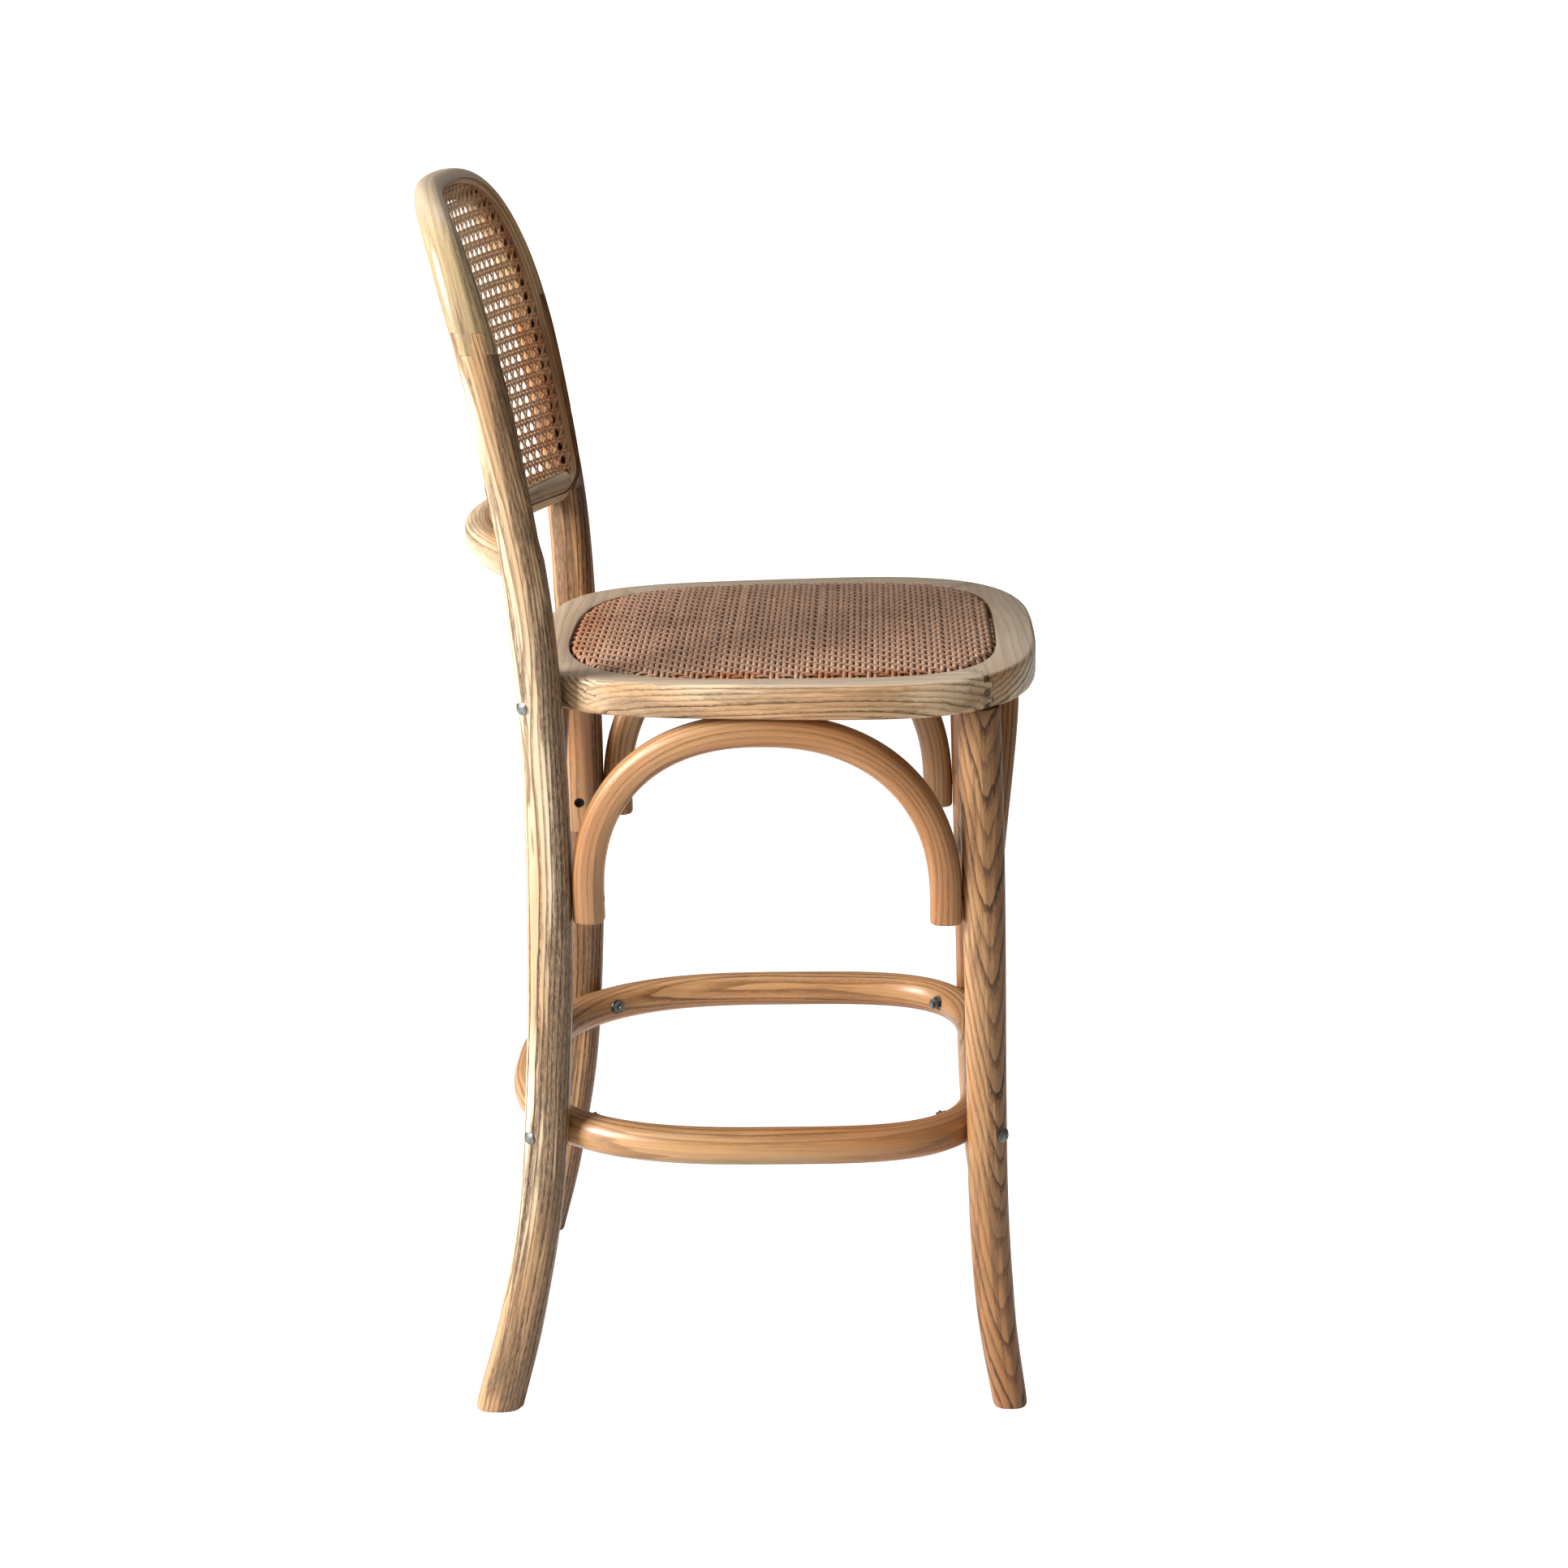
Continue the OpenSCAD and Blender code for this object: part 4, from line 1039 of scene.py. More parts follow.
def make_back_rail():
    """Lower rail of the back, bent far to the rear."""
    reach = rear_at(RAIL_Z)[0] - rear_size(RAIL_Z)[0] / 2 + 4
    path = []
    for s in np.linspace(-1, 1, 81):
        x, y, z = on_back(reach * s, RAIL_Z)
        path.append((x, y, z - RAIL_DIP * (1 - s * s) + 1.5))
    sizes = [(RAIL_H + 3, RAIL_T)] * len(path)
    rail = bent_bar("back_rail", path, sizes, (0, 0, 1), 2.6, 32, ends=((1, 0, 0), (1, 0, 0)))
    cut(rail, rebate_cutter(CANE_FRAME_W + 0.6))
    finish_piece(rail, wood("oak_back_rail"), "oak", "back_rail")


def make_cane_frame():
    """Thin bent frame round the cane."""
    loop = cane_loop(0.0, 46)
    path = [on_back(x, z, cane_front(z) - CANE_FRAME_D / 2) for x, z in loop]
    sizes = [(CANE_FRAME_D, CANE_FRAME_W)] * len(path)
    piece = bent_bar("cane_frame", path, sizes, (0, 1, 0), 3.2, 16, closed=True, start=4.0)
    finish_piece(piece, wood("oak_cane_frame"), "oak", "cane_frame")


def strand_mesh(name, lines, profile):
    """Strands as one mesh, swept with a profile of side and out pairs.

    Each line is its points, its surface normals, a start length and its level in the weave, from 0 to 1.
    """
    points, along, place, faces, levels = [], [], [], [], []
    profile = np.array(profile, float)
    m = len(profile)
    base = 0
    side_faces = [(j, (j + 1) % m) for j in range(m)]
    for p, normal, start, level in lines:
        n = len(p)
        if n < 2:
            continue
        t = np.gradient(p, axis=0)
        t /= np.linalg.norm(t, axis=1)[:, None]
        side = np.cross(t, normal)
        side /= np.linalg.norm(side, axis=1)[:, None]
        out = np.cross(side, t)
        s = np.concatenate([[0], np.cumsum(np.linalg.norm(np.diff(p, axis=0), axis=1))]) * MM + start
        ring = p[:, None] + profile[None, :, :1] * side[:, None] + profile[None, :, 1:] * out[:, None]
        points.append(ring.reshape(-1, 3))
        along.append(np.repeat(s, m))
        place.append(np.tile(profile * MM, (n, 1)))
        levels.append(np.repeat(level, m))
        idx = base + np.arange(n - 1)[:, None] * m
        for a, b in side_faces:
            faces.append(np.stack([idx[:, 0] + a, idx[:, 0] + b, idx[:, 0] + b + m, idx[:, 0] + a + m], 1))
        base += n * m
    quads = np.concatenate(faces).tolist()
    ends, at = [], 0
    for p, _, _, _ in lines:
        n = len(p)
        if n < 2:
            continue
        ends.append(tuple(range(at + m - 1, at - 1, -1)))
        ends.append(tuple(at + (n - 1) * m + j for j in range(m)))
        at += n * m
    along = np.stack([np.concatenate(along), np.concatenate(levels)], 1)
    return new_mesh_object(name, np.concatenate(points), quads + ends, along, np.concatenate(place))


def back_normal(x, z):
    """Direction in which the back's surface faces the sitter."""
    e = 2.0
    dx = np.array(on_back(x + e, z)) - np.array(on_back(x - e, z))
    dz = np.array(on_back(x, z + e)) - np.array(on_back(x, z - e))
    n = np.cross(dx, dz)
    n /= np.linalg.norm(n)
    return n if n[1] < 0 else -n


def make_cane():
    """Cane with paired uprights, paired rows and single diagonals both ways."""
    weave = bpy.context.scene.stool_weave
    pitch, width = weave.cane_pitch / MM, weave.cane_strand / MM
    inset = 0.6
    low, high = CANE_LOW + inset, TOP_Z + CANE_OUT - inset
    mid_z = (low + high) / 2
    step = pitch / 4
    pair = 1.62
    rng = np.random.default_rng(11)
    profile = [(-width / 2, -0.22), (width / 2, -0.22), (width / 2 * 0.8, 0.26), (-width / 2 * 0.8, 0.26)]
    cache = {}

    def surface(x, z, lift):
        key = (round(x, 2), round(z, 2))
        if key not in cache:
            cache[key] = (np.array(on_back(x, z, cane_front(z) - cane_back(z))), back_normal(x, z))
        p, n = cache[key]
        return p + lift * n, n

    lines = []

    def lay(samples, lift_at):
        """Adds the part of a strand that lies inside the frame."""
        run = []
        for k, (x, z) in enumerate(samples):
            if abs(x) < cane_half(z, inset):
                run.append((x, z, k))
            elif run:
                break
        if len(run) < 3:
            return
        got = [surface(x, z, lift_at(k)) for x, z, k in run]
        level = np.array([0.5 + lift_at(k) for x, z, k in run])
        places, normals = (np.array([g[i] for g in got]) for i in (0, 1))
        lines.append((places, normals, float(rng.uniform(0, 40)), level))

    reach = BACK_HALF_W + 10
    columns = int(reach / pitch) + 1
    rows = int((high - low) / 2 / pitch) + 2
    zs = np.arange(low - 2 * pitch, high + pitch, step)
    zs = mid_z + np.round((zs - mid_z) / step) * step
    xs = np.arange(-columns * pitch, columns * pitch + 0.1, step)
    for c in range(-columns, columns + 1):
        for side in (-1, 1):
            x = c * pitch + side * pair
            inside = [(x, z) for z in zs if abs(x) < cane_half(z, inset)]
            lay(inside, lambda k, s=side: 0.32 * math.cos(math.pi * k / 2 + (0 if s > 0 else math.pi)))
    for r in range(-rows, rows + 1):
        for side in (-1, 1):
            z = mid_z + r * pitch + side * pair
            inside = [(x, z) for x in xs if abs(x) < cane_half(z, inset)]
            lay(inside, lambda k, s=side: -0.32 * math.cos(math.pi * k / 2 + (0 if s > 0 else math.pi)))
    spread = columns + rows
    for direction in (-1, 1):
        for c in range(-spread, spread + 1):
            samples = []
            for k in range(-4 * rows, 4 * rows + 1):
                z = mid_z + k * step
                x = (c + 0.5) * pitch + direction * k * step
                if abs(x) < cane_half(z, inset):
                    samples.append((x, z))
            lift = 0.62 if direction > 0 else -0.5
            lay(samples, lambda k, a=lift, d=direction: a + 0.22 * math.cos(math.pi * k / 2) * d)
    panel = strand_mesh("back_cane_panel_weave", lines, profile)
    props = bpy.context.scene.stool_finish
    cane = (*props.cane, 1.0)
    material = strand_material(
        "stained_cane",
        cane,
        tuple(0.78 * c for c in cane[:3]) + (1.0,),
        srgb(92, 62, 38),
        srgb(196, 132, 84),
        [("X", 0.06, 0.2)],
        under_shade=0.35,
    )
    finish_piece(panel, material, "cane", "back_cane_panel", angle=60)


def pad_height(x, y, drop_from):
    """Height of the seat pad's surface, and how far inside its edge a point is."""
    half_y = (OPEN_REAR - OPEN_FRONT) / 2 - drop_from
    mid_y = (OPEN_REAR + OPEN_FRONT) / 2
    t = (y - mid_y) / half_y
    power = np.where(t < 0, 3.9, 3.1)
    half_x = (OPEN_W / 2 - drop_from) * (1 - 0.02 * np.clip(t, -1, 1))
    level = (np.abs(x) / half_x) ** power + np.abs(t) ** power
    s = np.clip(level, 0, 4) ** (1 / power)
    edge = (1 - s) * np.minimum(half_x, half_y)
    crown = SEAT_CROWN * (1 - np.clip(s, 0, 1) ** 2.4)
    radius = 6.0
    inward = radius - np.maximum(edge, 0)
    fall = np.where(edge < radius, radius - np.sqrt(np.maximum(0, radius**2 - inward**2)), 0)
    fall = fall + np.where(edge < 0, -edge * 6, 0)
    return SEAT_H + crown - fall - 0.6, edge


def make_seat_weave():
    """Wide strands from side to side and narrow ones from front to rear, in a twill."""
    weave = bpy.context.scene.stool_weave
    wide, narrow = weave.rattan_pitch / MM, weave.rattan_pitch / MM * 0.79
    rng = np.random.default_rng(5)
    inset = WEAVE_INSET
    lines = {"wide": [], "narrow": []}
    half_x, mid_y = OPEN_W / 2 - inset, (OPEN_REAR + OPEN_FRONT) / 2
    half_y = (OPEN_REAR - OPEN_FRONT) / 2 - inset
    n_x, n_y = int(half_x / narrow) + 1, int(half_y / wide) + 1

    def over_under(t):
        """Over two strands and under two."""
        return np.clip(1.5 * np.cos(2 * np.pi * (t - 0.5) / 4), -1, 1)

    def lay(kind, x, y, phase):
        """Adds the part of a strand that lies inside the seat's opening."""
        z, edge = pad_height(x, y, inset)
        keep = edge > -0.35
        if keep.sum() < 4:
            return
        first, last = np.argmax(keep), len(keep) - np.argmax(keep[::-1])
        x, y, z = x[first:last], y[first:last], z[first:last]
        e = 0.8
        zx = (pad_height(x + e, y, inset)[0] - pad_height(x - e, y, inset)[0]) / (2 * e)
        zy = (pad_height(x, y + e, inset)[0] - pad_height(x, y - e, inset)[0]) / (2 * e)
        normal = np.stack([-np.clip(zx, -3, 3), -np.clip(zy, -3, 3), np.ones(len(x))], 1)
        normal /= np.linalg.norm(normal, axis=1)[:, None]
        p = np.stack([x, y, z], 1) + phase[first:last, None] * normal
        level = 0.5 + 0.5 * np.clip(phase[first:last], -1, 1)
        lines[kind].append((p, normal, float(rng.uniform(0, 60)), level))

    for i in range(-n_y, n_y + 1):
        steps = np.arange(-n_x - 1, n_x + 1.01, 2 / 3)
        y = mid_y + i * wide + rng.normal(0, 0.14) + np.cumsum(rng.normal(0, 0.05, len(steps)))
        lay("wide", steps * narrow, y, 1.15 * over_under(steps - i) + rng.normal(0, 0.05, len(steps)))
    for j in range(-n_x, n_x + 1):
        steps = np.arange(-n_y - 1, n_y + 1.01, 4 / 7)
        x = j * narrow + rng.normal(0, 0.1) + np.cumsum(rng.normal(0, 0.03, len(steps)))
        phase = -0.85 * over_under(j - steps) + rng.normal(0, 0.04, len(steps))
        lay("narrow", x, mid_y + steps * wide, phase)
    w, t = wide * 0.41, 1.25
    round_top = [(-w, -0.5), (w, -0.5), (w * 0.8, t * 0.6), (0, t), (-w * 0.8, t * 0.6)]
    w, t = narrow * 0.38, 0.8
    flat_top = [(-w, -0.4), (w, -0.4), (w * 0.6, t), (-w * 0.6, t)]
    cover = join(
        [
            strand_mesh("seat_rattan_weave", lines["wide"], round_top),
            strand_mesh("seat_rattan_cross", lines["narrow"], flat_top),
        ]
    )
    props = bpy.context.scene.stool_finish
    rattan = (*props.rattan, 1.0)
    material = strand_material(
        "stained_rattan",
        rattan,
        tuple(0.72 * c for c in rattan[:3]) + (1.0,),
        srgb(70, 44, 28),
        srgb(144, 84, 45),
        [("X", -0.158, -0.176), ("Y", 0.09, 0.17)],
        under_shade=0.85,
    )
    finish_piece(cover, material, "rattan", "seat_rattan", angle=180)


def make_pad_core():
    """The padded core, whose top follows the weave from just below."""
    count = 120
    sides = ((6.5, SEAT_UNDER + 18.3), (2.6, SEAT_UNDER + 18.3), (2.6, SEAT_H - 8.0))
    loops = [[(x, y, z) for x, y in open_outline(inset, count)] for inset, z in sides]
    for inset in (2.6, 3.6, 5.2, 8, 13, 22, 40, 75, 120):
        outline = open_outline(inset, count)
        tops, _ = pad_height(outline[:, 0], outline[:, 1], WEAVE_INSET)
        loops.append([(x, y, top - 1.5) for (x, y), top in zip(outline, tops)])
    core = plain_solid("seat_pad_core", loops, count)
    material = plain_fibre_material("seat_pad_backing", srgb(74, 50, 34), srgb(44, 30, 20), 400)
    finish_piece(core, material, "foam", "seat_foam")


def seat_ring_mesh(name):
    """The seat frame as one ring with rounded edges, before it is parted at the corners."""
    count = 360
    angles = np.linspace(0, 2 * math.pi, count + 1)[:-1]
    ledge = 22.0
    top, under = SEAT_H, SEAT_UNDER
    outlines = [
        (open_outline(ledge), under + 0.4),
        (open_outline(ledge), under + SEAT_LAYER),
        (open_outline(0.0), under + SEAT_LAYER),
        (open_outline(0.0), top - 1.6),
        (open_outline(-0.5), top - 0.45),
        (open_outline(-1.7), top),
        (seat_outline(4.2), top),
        (seat_outline(2.4), top - 0.35),
        (seat_outline(0.9), top - 1.5),
        (seat_outline(0.15), top - 3.4),
        (seat_outline(0.0), top - 6.0),
        (seat_outline(0.0), under + 5.0),
        (seat_outline(0.25), under + 2.8),
        (seat_outline(1.1), under + 1.1),
        (seat_outline(2.8), under),
    ]
    loops = [[(x, y, z) for x, y in by_polar_angle(outline, angles)] for outline, z in outlines]
    return plain_solid(name, loops, count, closed=True)


def finger_cutter(angle, keep_after, finger_sign, gap):
    """Everything on one side of a stepped joint line that runs out from the seat's middle."""
    half_finger = 4.5
    profile = []
    for i in range(5):
        step = half_finger * finger_sign * (1 if i % 2 == 0 else -1)
        z0 = SEAT_UNDER + i * SEAT_LAYER if i else SEAT_UNDER - 20
        z1 = SEAT_UNDER + (i + 1) * SEAT_LAYER if i < 4 else SEAT_H + 20
        profile += [(step, z0), (step, z1)]
    side = -1 if keep_after else 1
    shift = side * gap / 2
    outline = [(t + shift, z) for t, z in profile]
    outline += [(side * 700.0, SEAT_H + 20), (side * 700.0, SEAT_UNDER - 20)]
    radial = np.array([math.cos(angle), math.sin(angle)])
    tangent = np.array([-radial[1], radial[0]])
    centre = np.array([0, SEAT_MID_Y])
    loops = [[(*(centre + r * radial + t * tangent), z) for t, z in outline] for r in (-700.0, 700.0)]
    return plain_solid("finger_tool", loops, len(outline))


def make_seat_frame():
    """Parts the seat ring at its finger joints into four rails, each with the grain along it."""
    rails = (
        ("seat_left_rail", "Y", (0.10, -0.70, 0)),
        ("seat_rear_rail", "X", (0.10, 0.72, 0)),
        ("seat_right_rail", "Y", (-0.24, -0.56, 0)),
        ("seat_front_rail", "X", (-0.16, 0.74, 0)),
    )
    whole = seat_ring_mesh("seat_ring")
    for k, (name, axis, pith) in enumerate(rails):
        rail = whole.copy()
        rail.data = whole.data.copy()
        rail.name = rail.data.name = name + "_piece"
        bpy.context.scene.collection.objects.link(rail)
        for corner, keep_after in ((k, True), ((k + 1) % 4, False)):
            sign = 1 if corner % 2 == 0 else -1
            cut(rail, finger_cutter(SEAT_CORNERS[corner], keep_after, sign, 0.12))
        along, side = ((0, 1, 0), (1, 0, 0)) if axis == "Y" else ((1, 0, 0), (0, 1, 0))
        grain_by_place(rail, along, side, 0.4 * k)
        fingers = [(SEAT_CORNERS[0], 1), (SEAT_CORNERS[3], -1)] if name == "seat_front_rail" else ()
        material = wood_material(
            "oak_" + name,
            seed=1.7 + 3.1 * k,
            pith=pith,
            ring=0.0050,
            wander=0.05,
            pores=1.0,
            greying=0.4,
            stain=0.4,
            # Painted sheen: the top faces turn pale grey as the surround's light falls on them.
            top_sheen_above=((SEAT_H - 1.6) * MM, (SEAT_H - 0.2) * MM, 0.72),
            tone="plain",
            fingers=fingers,
        )
        finish_piece(rail, material, "oak", name, angle=35)
    mesh = whole.data
    bpy.data.objects.remove(whole)
    bpy.data.meshes.remove(mesh)


def make_footrest():
    """Hoop footrest with a flat for each washer."""
    count = 220
    path = ring_path(count)
    ring = bent_bar(
        "footrest_ring", path, [(RING_DIA, RING_DIA)] * count, (0, 0, 1), 2.0, 36, closed=True, start=1.0
    )
    for front in (True, False):
        d = diagonal(front)
        post = np.array(front_at(RING_H + 3) if front else rear_at(RING_H + 3))
        face = post - LEG_FLAT_R * d
        inner = face - (RING_DIA - RING_FLAT - 1.2) * d
        for side in (1, -1):
            mirror = np.array([side, 1, 1])
            cut(ring, cylinder_along(inner * mirror, -d * mirror, 7.5, 0, 25, 40))
    finish_piece(ring, wood("oak_footrest"), "oak", "footrest_ring")


def arch_path(start, end, low, bow, count):
    """Points of an arch from one end to the other, up against the seat."""
    start, end = np.array(start[:2], float), np.array(end[:2], float)
    half = np.linalg.norm(end - start) / 2
    top = SEAT_UNDER - GAP - ARCH_T / 2
    rise = min(half, top - low - 12)
    spring = top - rise
    elevation = [(-half, z) for z in np.linspace(low, spring, 8)[:-1]]
    for i in range(count + 1):
        a = math.pi - math.pi * i / count
        x, z = (signed_power(v, ARCH_ROUND) for v in (math.cos(a), math.sin(a)))
        elevation.append((half * x, spring + rise * z))
    elevation += [(half, z) for z in np.linspace(spring, low, 8)[1:]]
    points = []
    for x, z in elevation:
        s = (x / half + 1) / 2
        up = max(0.0, (z - low) / (SEAT_UNDER - low)) ** 1.5
        xy = start + (end - start) * s + np.array(bow) * up
        points.append((xy[0], xy[1], z))
    return points


def arch_ends():
    """Plan places of the ends on the left: the side arch's two, then the front and the rear arch's."""
    rs, fs, rc, fc = rear_at(SIDE_Z), front_at(SIDE_Z), rear_at(CROSS_Z), front_at(CROSS_Z)
    return {
        "side_rear": (rs[0] - 1, rs[1] - rear_size(SIDE_Z)[1] / 2 - ARCH_T / 2 - ARCH_HOLD),
        "side_front": (fs[0] + 4, fs[1] + front_size(SIDE_Z)[1] / 2 + ARCH_T / 2 + ARCH_HOLD),
        "cross_front": (fc[0] - front_size(CROSS_Z)[0] / 2 - ARCH_T / 2 - ARCH_HOLD - 0.6, fc[1] - 1),
        "cross_rear": (rc[0] - rear_size(CROSS_Z)[0] / 2 - ARCH_T / 2 - ARCH_HOLD, rc[1]),
    }


def make_arch(name, start, end, low, bow, holes, top_hole):
    """One arch with its screws' counterbores."""
    path = arch_path(start, end, low, bow, 90)
    span = unit(np.array([end[0] - start[0], end[1] - start[1], 0.0]))
    across = np.cross((0, 0, 1), span)
    sizes = [(ARCH_T, ARCH_T + 0.5)] * len(path)
    ends = ((0, 0, 1), (0, 0, -1))
    piece = bent_bar(name, path, sizes, across, WOOD_POWER, 32, ends=ends, soften=2.2)
    for origin, direction in holes:
        cut(piece, cylinder_along(origin, direction, SCREW_SINK_R, -20, SCREW_SINK, 32))
    cut(piece, cylinder_along(top_hole, (0, 0, 1), SCREW_SINK_R, -10, SCREW_SINK, 32))
    return piece


def make_arches():
    """Two side arches, one in front and one at the rear."""
    e = arch_ends()
    top_z = SEAT_UNDER - GAP - ARCH_T
    half = ARCH_T / 2
    side_top = (
        (e["side_rear"][0] + e["side_front"][0]) / 2 + SIDE_ARCH_BOW * 0.9,
        (e["side_rear"][1] + e["side_front"][1]) / 2,
        top_z,
    )
    side = make_arch(
        "side_arch_left",
        e["side_rear"],
        e["side_front"],
        SIDE_ARCH_END,
        (SIDE_ARCH_BOW, 0),
        [
            ((e["side_rear"][0], e["side_rear"][1] - half, SIDE_Z), (0, 1, 0)),
            ((e["side_front"][0], e["side_front"][1] + half, SIDE_Z), (0, -1, 0)),
        ],
        side_top,
    )
    other = mirrored(side, "side_arch_right")
    finish_piece(side, wood("oak_side_arch_left"), "oak", "side_arch_left")
    finish_piece(other, wood("oak_side_arch_right"), "oak", "side_arch_right")
    for name, key, low, bow in (
        ("front_arch", "cross_front", FRONT_ARCH_END, FRONT_ARCH_BOW),
        ("rear_arch", "cross_rear", REAR_ARCH_END, 0.0),
    ):
        x, y = e[key]
        holes = [((s * (x - half), y, CROSS_Z), (s, 0, 0)) for s in (-1, 1)]
        piece = make_arch(name, (-x, y), (x, y), low, (0, bow), holes, (0, y + bow * 0.9, top_z))
        finish_piece(piece, wood("oak_" + name), "oak", name)


def finish_frame_nodes():
    """Metal and hidden wooden nodes keep the frame's own shape and get their finishes."""
    props = bpy.context.scene.stool_finish
    bright = steel_material("zinc_steel", (*props.steel, 1.0), 0.38)
    dark = steel_material("black_steel", (0.05, 0.05, 0.055, 1.0), 0.45)
    finishes = {name: bright for name in ("ring_bolts", "ring_washers", "ring_nuts")}
    finishes.update({name: bright for name in ("seat_bolts", "seat_bolt_washers", "seat_bolt_nuts")})
    finishes.update({name: dark for name in ("arch_end_screws", "arch_top_screws")})
    finishes["seat_board"] = wood("birch_board")
    finishes["rail_dowels"] = wood("oak_dowels")
    for name, material in finishes.items():
        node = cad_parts[name]
        if node.data.materials:
            for i in range(len(node.data.materials)):
                node.data.materials[i] = material
        else:
            node.data.materials.append(material)


# ---- Stage ----
def seen_white(w, output, shader, kind):
    """The camera sees plain white, while the light comes from the shader itself."""
    white = w.node(kind, {"Color": (1, 1, 1, 1), "Strength": 1.05})
    path = w.node("ShaderNodeLightPath")
    both = w.node("ShaderNodeMixShader")
    w.feed(both.inputs[0], path.outputs["Is Camera Ray"])
    w.feed(both.inputs[1], shader)
    w.feed(both.inputs[2], white.outputs[0])
    w.feed(output.inputs["Surface"], both.outputs[0])


def make_stage():
    """Pale floor and surround, three soft lights and the camera."""
    props = bpy.context.scene.stool_stage
    scene = bpy.context.scene
    clear_selection()
    bpy.ops.mesh.primitive_plane_add(size=30, location=(0, 0, -0.0005))
    floor = bpy.context.active_object
    floor.name = "studio_floor"
    bpy.ops.object.transform_apply(location=True, rotation=True, scale=True)
    material, w, shader = new_material("pale_floor")
    place = w.node("ShaderNodeTexCoord").outputs["Object"]
    cloud = w.noise(w.stretched(place, 2, 2, 2), detail=2.0).outputs["Fac"]
    w.feed(shader.inputs["Base Color"], w.mix(cloud, (0.90, 0.90, 0.90, 1), (0.93, 0.93, 0.93, 1)))
    shader.inputs["Roughness"].default_value = 0.9
    shader.inputs["Specular IOR Level"].default_value = 0.1
    seen_white(w, material.node_tree.nodes["Material Output"], shader.outputs["BSDF"], "ShaderNodeEmission")
    floor.data.materials.append(material)

    world = bpy.data.worlds.new("pale_surround")
    scene.world = world
    world.use_nodes = True
    background = world.node_tree.nodes["Background"]
    background.inputs["Color"].default_value = (1.0, 1.0, 1.0, 1)
    background.inputs["Strength"].default_value = props.sky
    output = world.node_tree.nodes["World Output"]
    seen_white(Wiring(world.node_tree), output, background.outputs[0], "ShaderNodeBackground")

    target = Vector((0, 0, 0.6))
    for name, place, power, size in (
        ("key_light", (-1.12, 2.35, 1.75), props.key_power, 1.3),
        ("fill_light", (-2.2, -1.8, 1.4), props.fill_power, 2.0),
        ("top_light", (0.3, 0.0, 3.2), props.top_power, 2.2),
    ):
        light = bpy.data.lights.new(name, "AREA")
        light.energy = power
        light.size = size
        lamp = bpy.data.objects.new(name, light)
        scene.collection.objects.link(lamp)
        lamp.location = place
        lamp.rotation_euler = (target - Vector(place)).to_track_quat("-Z", "Y").to_euler()

    distance, height = 2.683425, 1.296263
    azimuth, pan, pitch, roll = (math.radians(a) for a in (0.924, 1.882, 16.208, -1.186))
    shift_y = (SEAT_FRONT - 178.7) * MM
    eye = Vector((-distance * math.cos(azimuth), -distance * math.sin(azimuth) - shift_y, height))
    forward = Vector((math.cos(pan) * math.cos(pitch), math.sin(pan) * math.cos(pitch), -math.sin(pitch)))
    right = forward.cross(Vector((0, 0, 1))).normalized()
    up = right.cross(forward)
    turned_right = right * math.cos(roll) + up * math.sin(roll)
    turned_up = -right * math.sin(roll) + up * math.cos(roll)
    data = bpy.data.cameras.new("camera")
    data.sensor_width = 36.0
    data.lens = props.lens
    camera = bpy.data.objects.new("camera", data)
    scene.collection.objects.link(camera)
    turn = Matrix((turned_right, turned_up, -forward)).transposed().to_4x4()
    camera.matrix_world = Matrix.Translation(eye) @ turn
    data.clip_start, data.clip_end = 0.05, 100
    scene.camera = camera
    scene.view_settings.view_transform = "Standard"
    scene.view_settings.look = "Medium High Contrast"


# ---- Operators ----
class STOOL_OT_posts(bpy.types.Operator):
    """Bend the rear legs with their posts, and the front legs"""

    bl_idname = "stool.posts"
    bl_label = "Legs and Posts"

    def execute(self, context):
        make_rear_legs()
        make_front_legs()
        return {"FINISHED"}


class STOOL_OT_back(bpy.types.Operator):
    """Bend the top bow, the back rail and the cane's frame"""

    bl_idname = "stool.back"
    bl_label = "Back"

    def execute(self, context):
        make_bow()
        make_back_rail()
        make_cane_frame()
        return {"FINISHED"}


class STOOL_OT_cane(bpy.types.Operator):
    """Weave the cane of the back"""

    bl_idname = "stool.cane"
    bl_label = "Cane Panel"

    def execute(self, context):
        make_cane()
        return {"FINISHED"}


class STOOL_OT_seat_frame(bpy.types.Operator):
    """Shape the four rails of the seat and their finger joints"""

    bl_idname = "stool.seat_frame"
    bl_label = "Seat Frame"

    def execute(self, context):
        make_seat_frame()
        return {"FINISHED"}


class STOOL_OT_seat_pad(bpy.types.Operator):
    """Weave the rattan seat over its pad"""

    bl_idname = "stool.seat_pad"
    bl_label = "Woven Seat"

    def execute(self, context):
        make_seat_weave()
        make_pad_core()
        return {"FINISHED"}


class STOOL_OT_footrest(bpy.types.Operator):
    """Bend the footrest hoop"""

    bl_idname = "stool.footrest"
    bl_label = "Footrest"

    def execute(self, context):
        make_footrest()
        return {"FINISHED"}


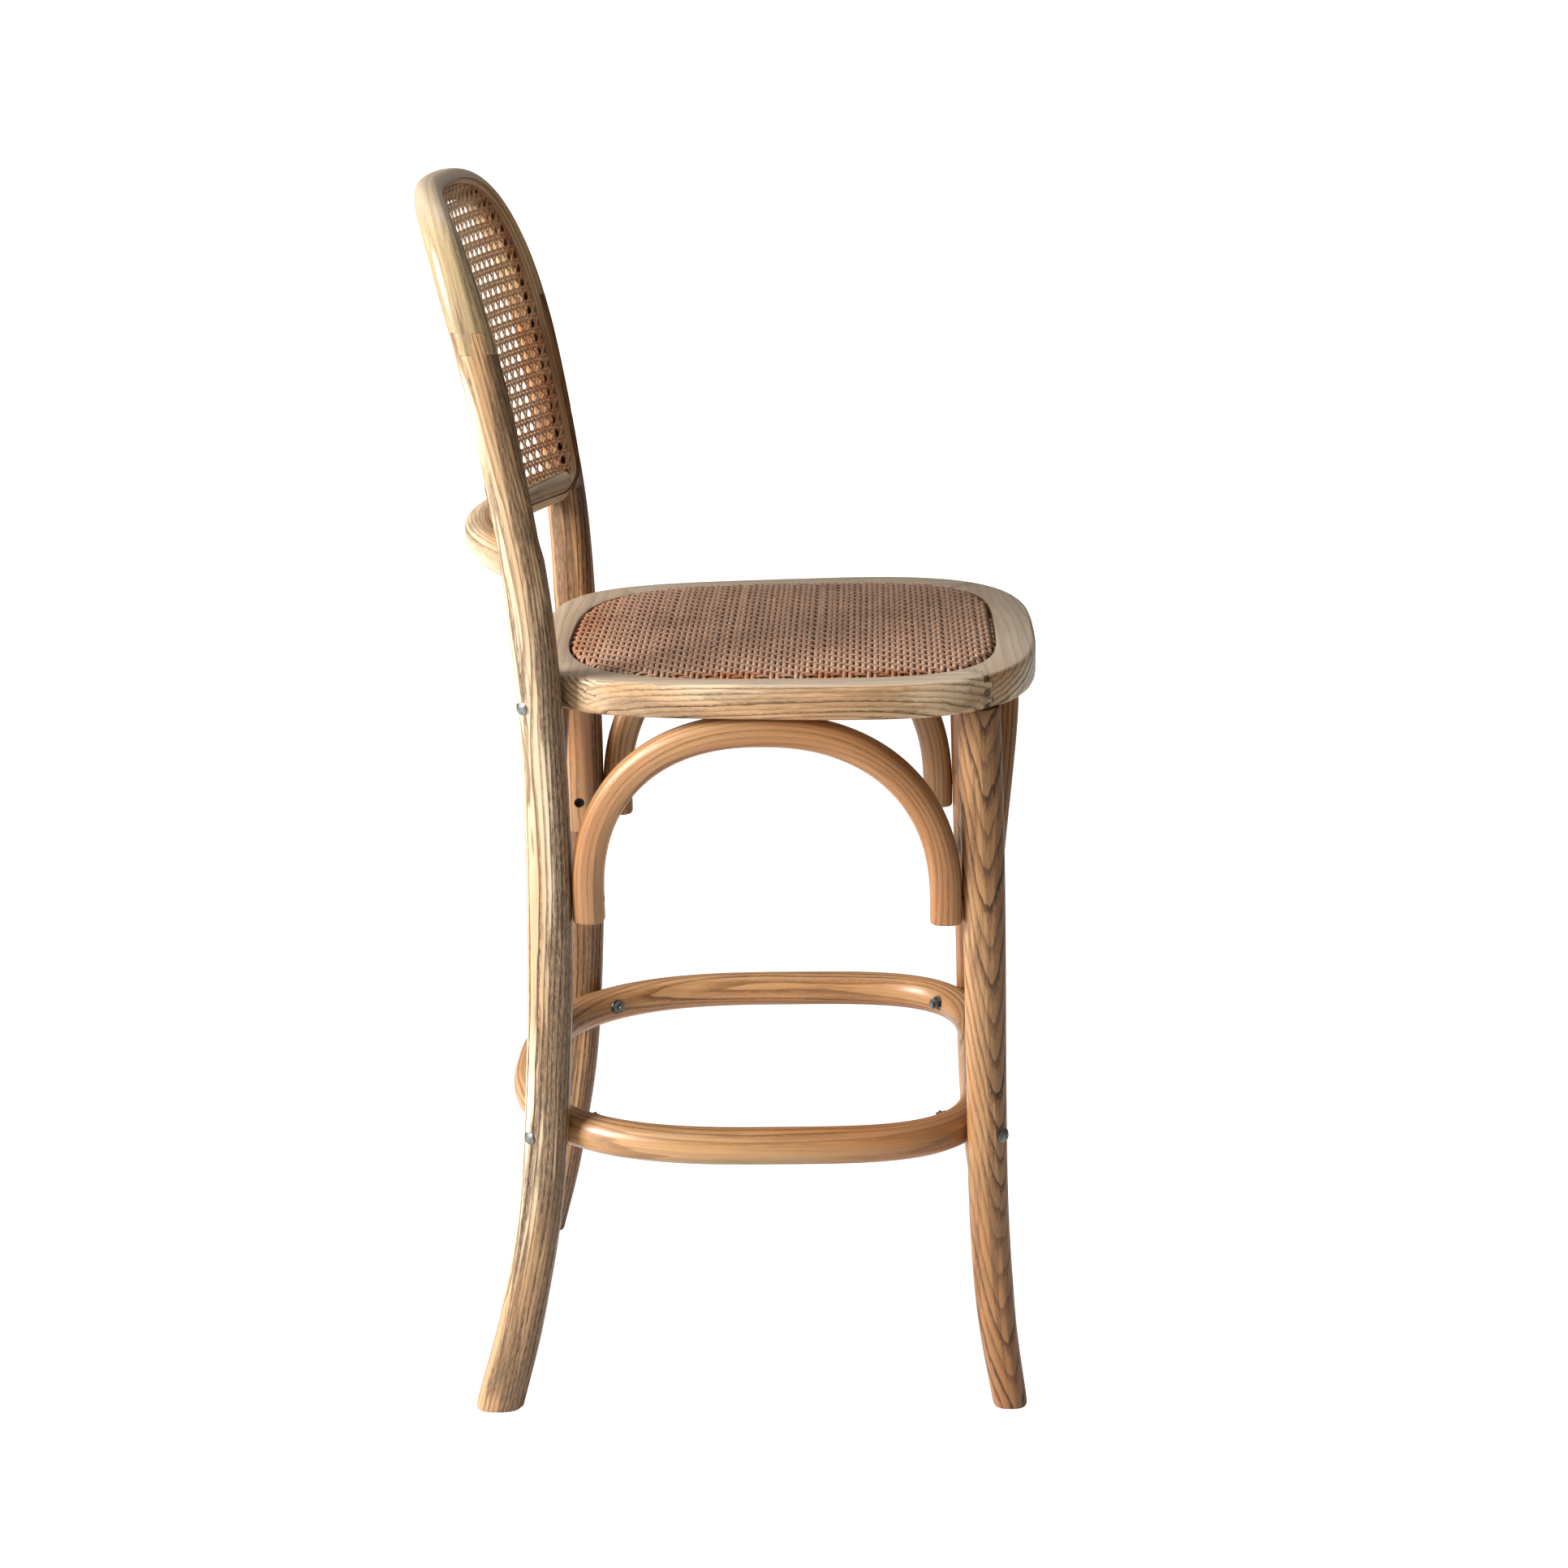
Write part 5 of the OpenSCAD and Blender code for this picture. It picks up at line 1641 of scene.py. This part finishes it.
class STOOL_OT_arches(bpy.types.Operator):
    """Bend the four arches under the seat"""

    bl_idname = "stool.arches"
    bl_label = "Arches"

    def execute(self, context):
        make_arches()
        return {"FINISHED"}


class STOOL_OT_fittings(bpy.types.Operator):
    """Give the bolts, nuts, screws and hidden parts their finishes"""

    bl_idname = "stool.fittings"
    bl_label = "Fittings"

    def execute(self, context):
        finish_frame_nodes()
        return {"FINISHED"}


class STOOL_OT_stage(bpy.types.Operator):
    """Set the floor, the lights and the camera"""

    bl_idname = "stool.stage"
    bl_label = "Stage"

    def execute(self, context):
        make_stage()
        return {"FINISHED"}


class STOOL_PT_panel(bpy.types.Panel):
    """Lists the steps that build the stool"""

    bl_idname = "STOOL_PT_panel"
    bl_label = "Bar Stool"
    bl_space_type = "VIEW_3D"
    bl_region_type = "UI"
    bl_category = "Stool"

    def draw(self, context):
        column = self.layout.column()
        for group in (context.scene.stool_finish, context.scene.stool_weave, context.scene.stool_stage):
            for key in group.__annotations__:
                column.prop(group, key)
        for step in STEPS:
            column.operator(step.bl_idname)


STEPS = (
    STOOL_OT_stage,
    STOOL_OT_posts,
    STOOL_OT_back,
    STOOL_OT_cane,
    STOOL_OT_seat_frame,
    STOOL_OT_seat_pad,
    STOOL_OT_footrest,
    STOOL_OT_arches,
    STOOL_OT_fittings,
)
GROUPS = (StoolFinish, StoolWeave, StoolStage)


def register():
    for cls in (*GROUPS, *STEPS, STOOL_PT_panel):
        bpy.utils.register_class(cls)
    bpy.types.Scene.stool_finish = bpy.props.PointerProperty(type=StoolFinish)
    bpy.types.Scene.stool_weave = bpy.props.PointerProperty(type=StoolWeave)
    bpy.types.Scene.stool_stage = bpy.props.PointerProperty(type=StoolStage)


def unregister():
    del bpy.types.Scene.stool_finish
    del bpy.types.Scene.stool_weave
    del bpy.types.Scene.stool_stage
    for cls in reversed((*GROUPS, *STEPS, STOOL_PT_panel)):
        bpy.utils.unregister_class(cls)


def main():
    register()
    for step in STEPS:
        action = getattr(bpy.ops.stool, step.bl_idname.split(".")[1])
        if action() != {"FINISHED"}:
            raise RuntimeError(step.bl_label + " did not finish")


if __name__ == "__main__":
    main()
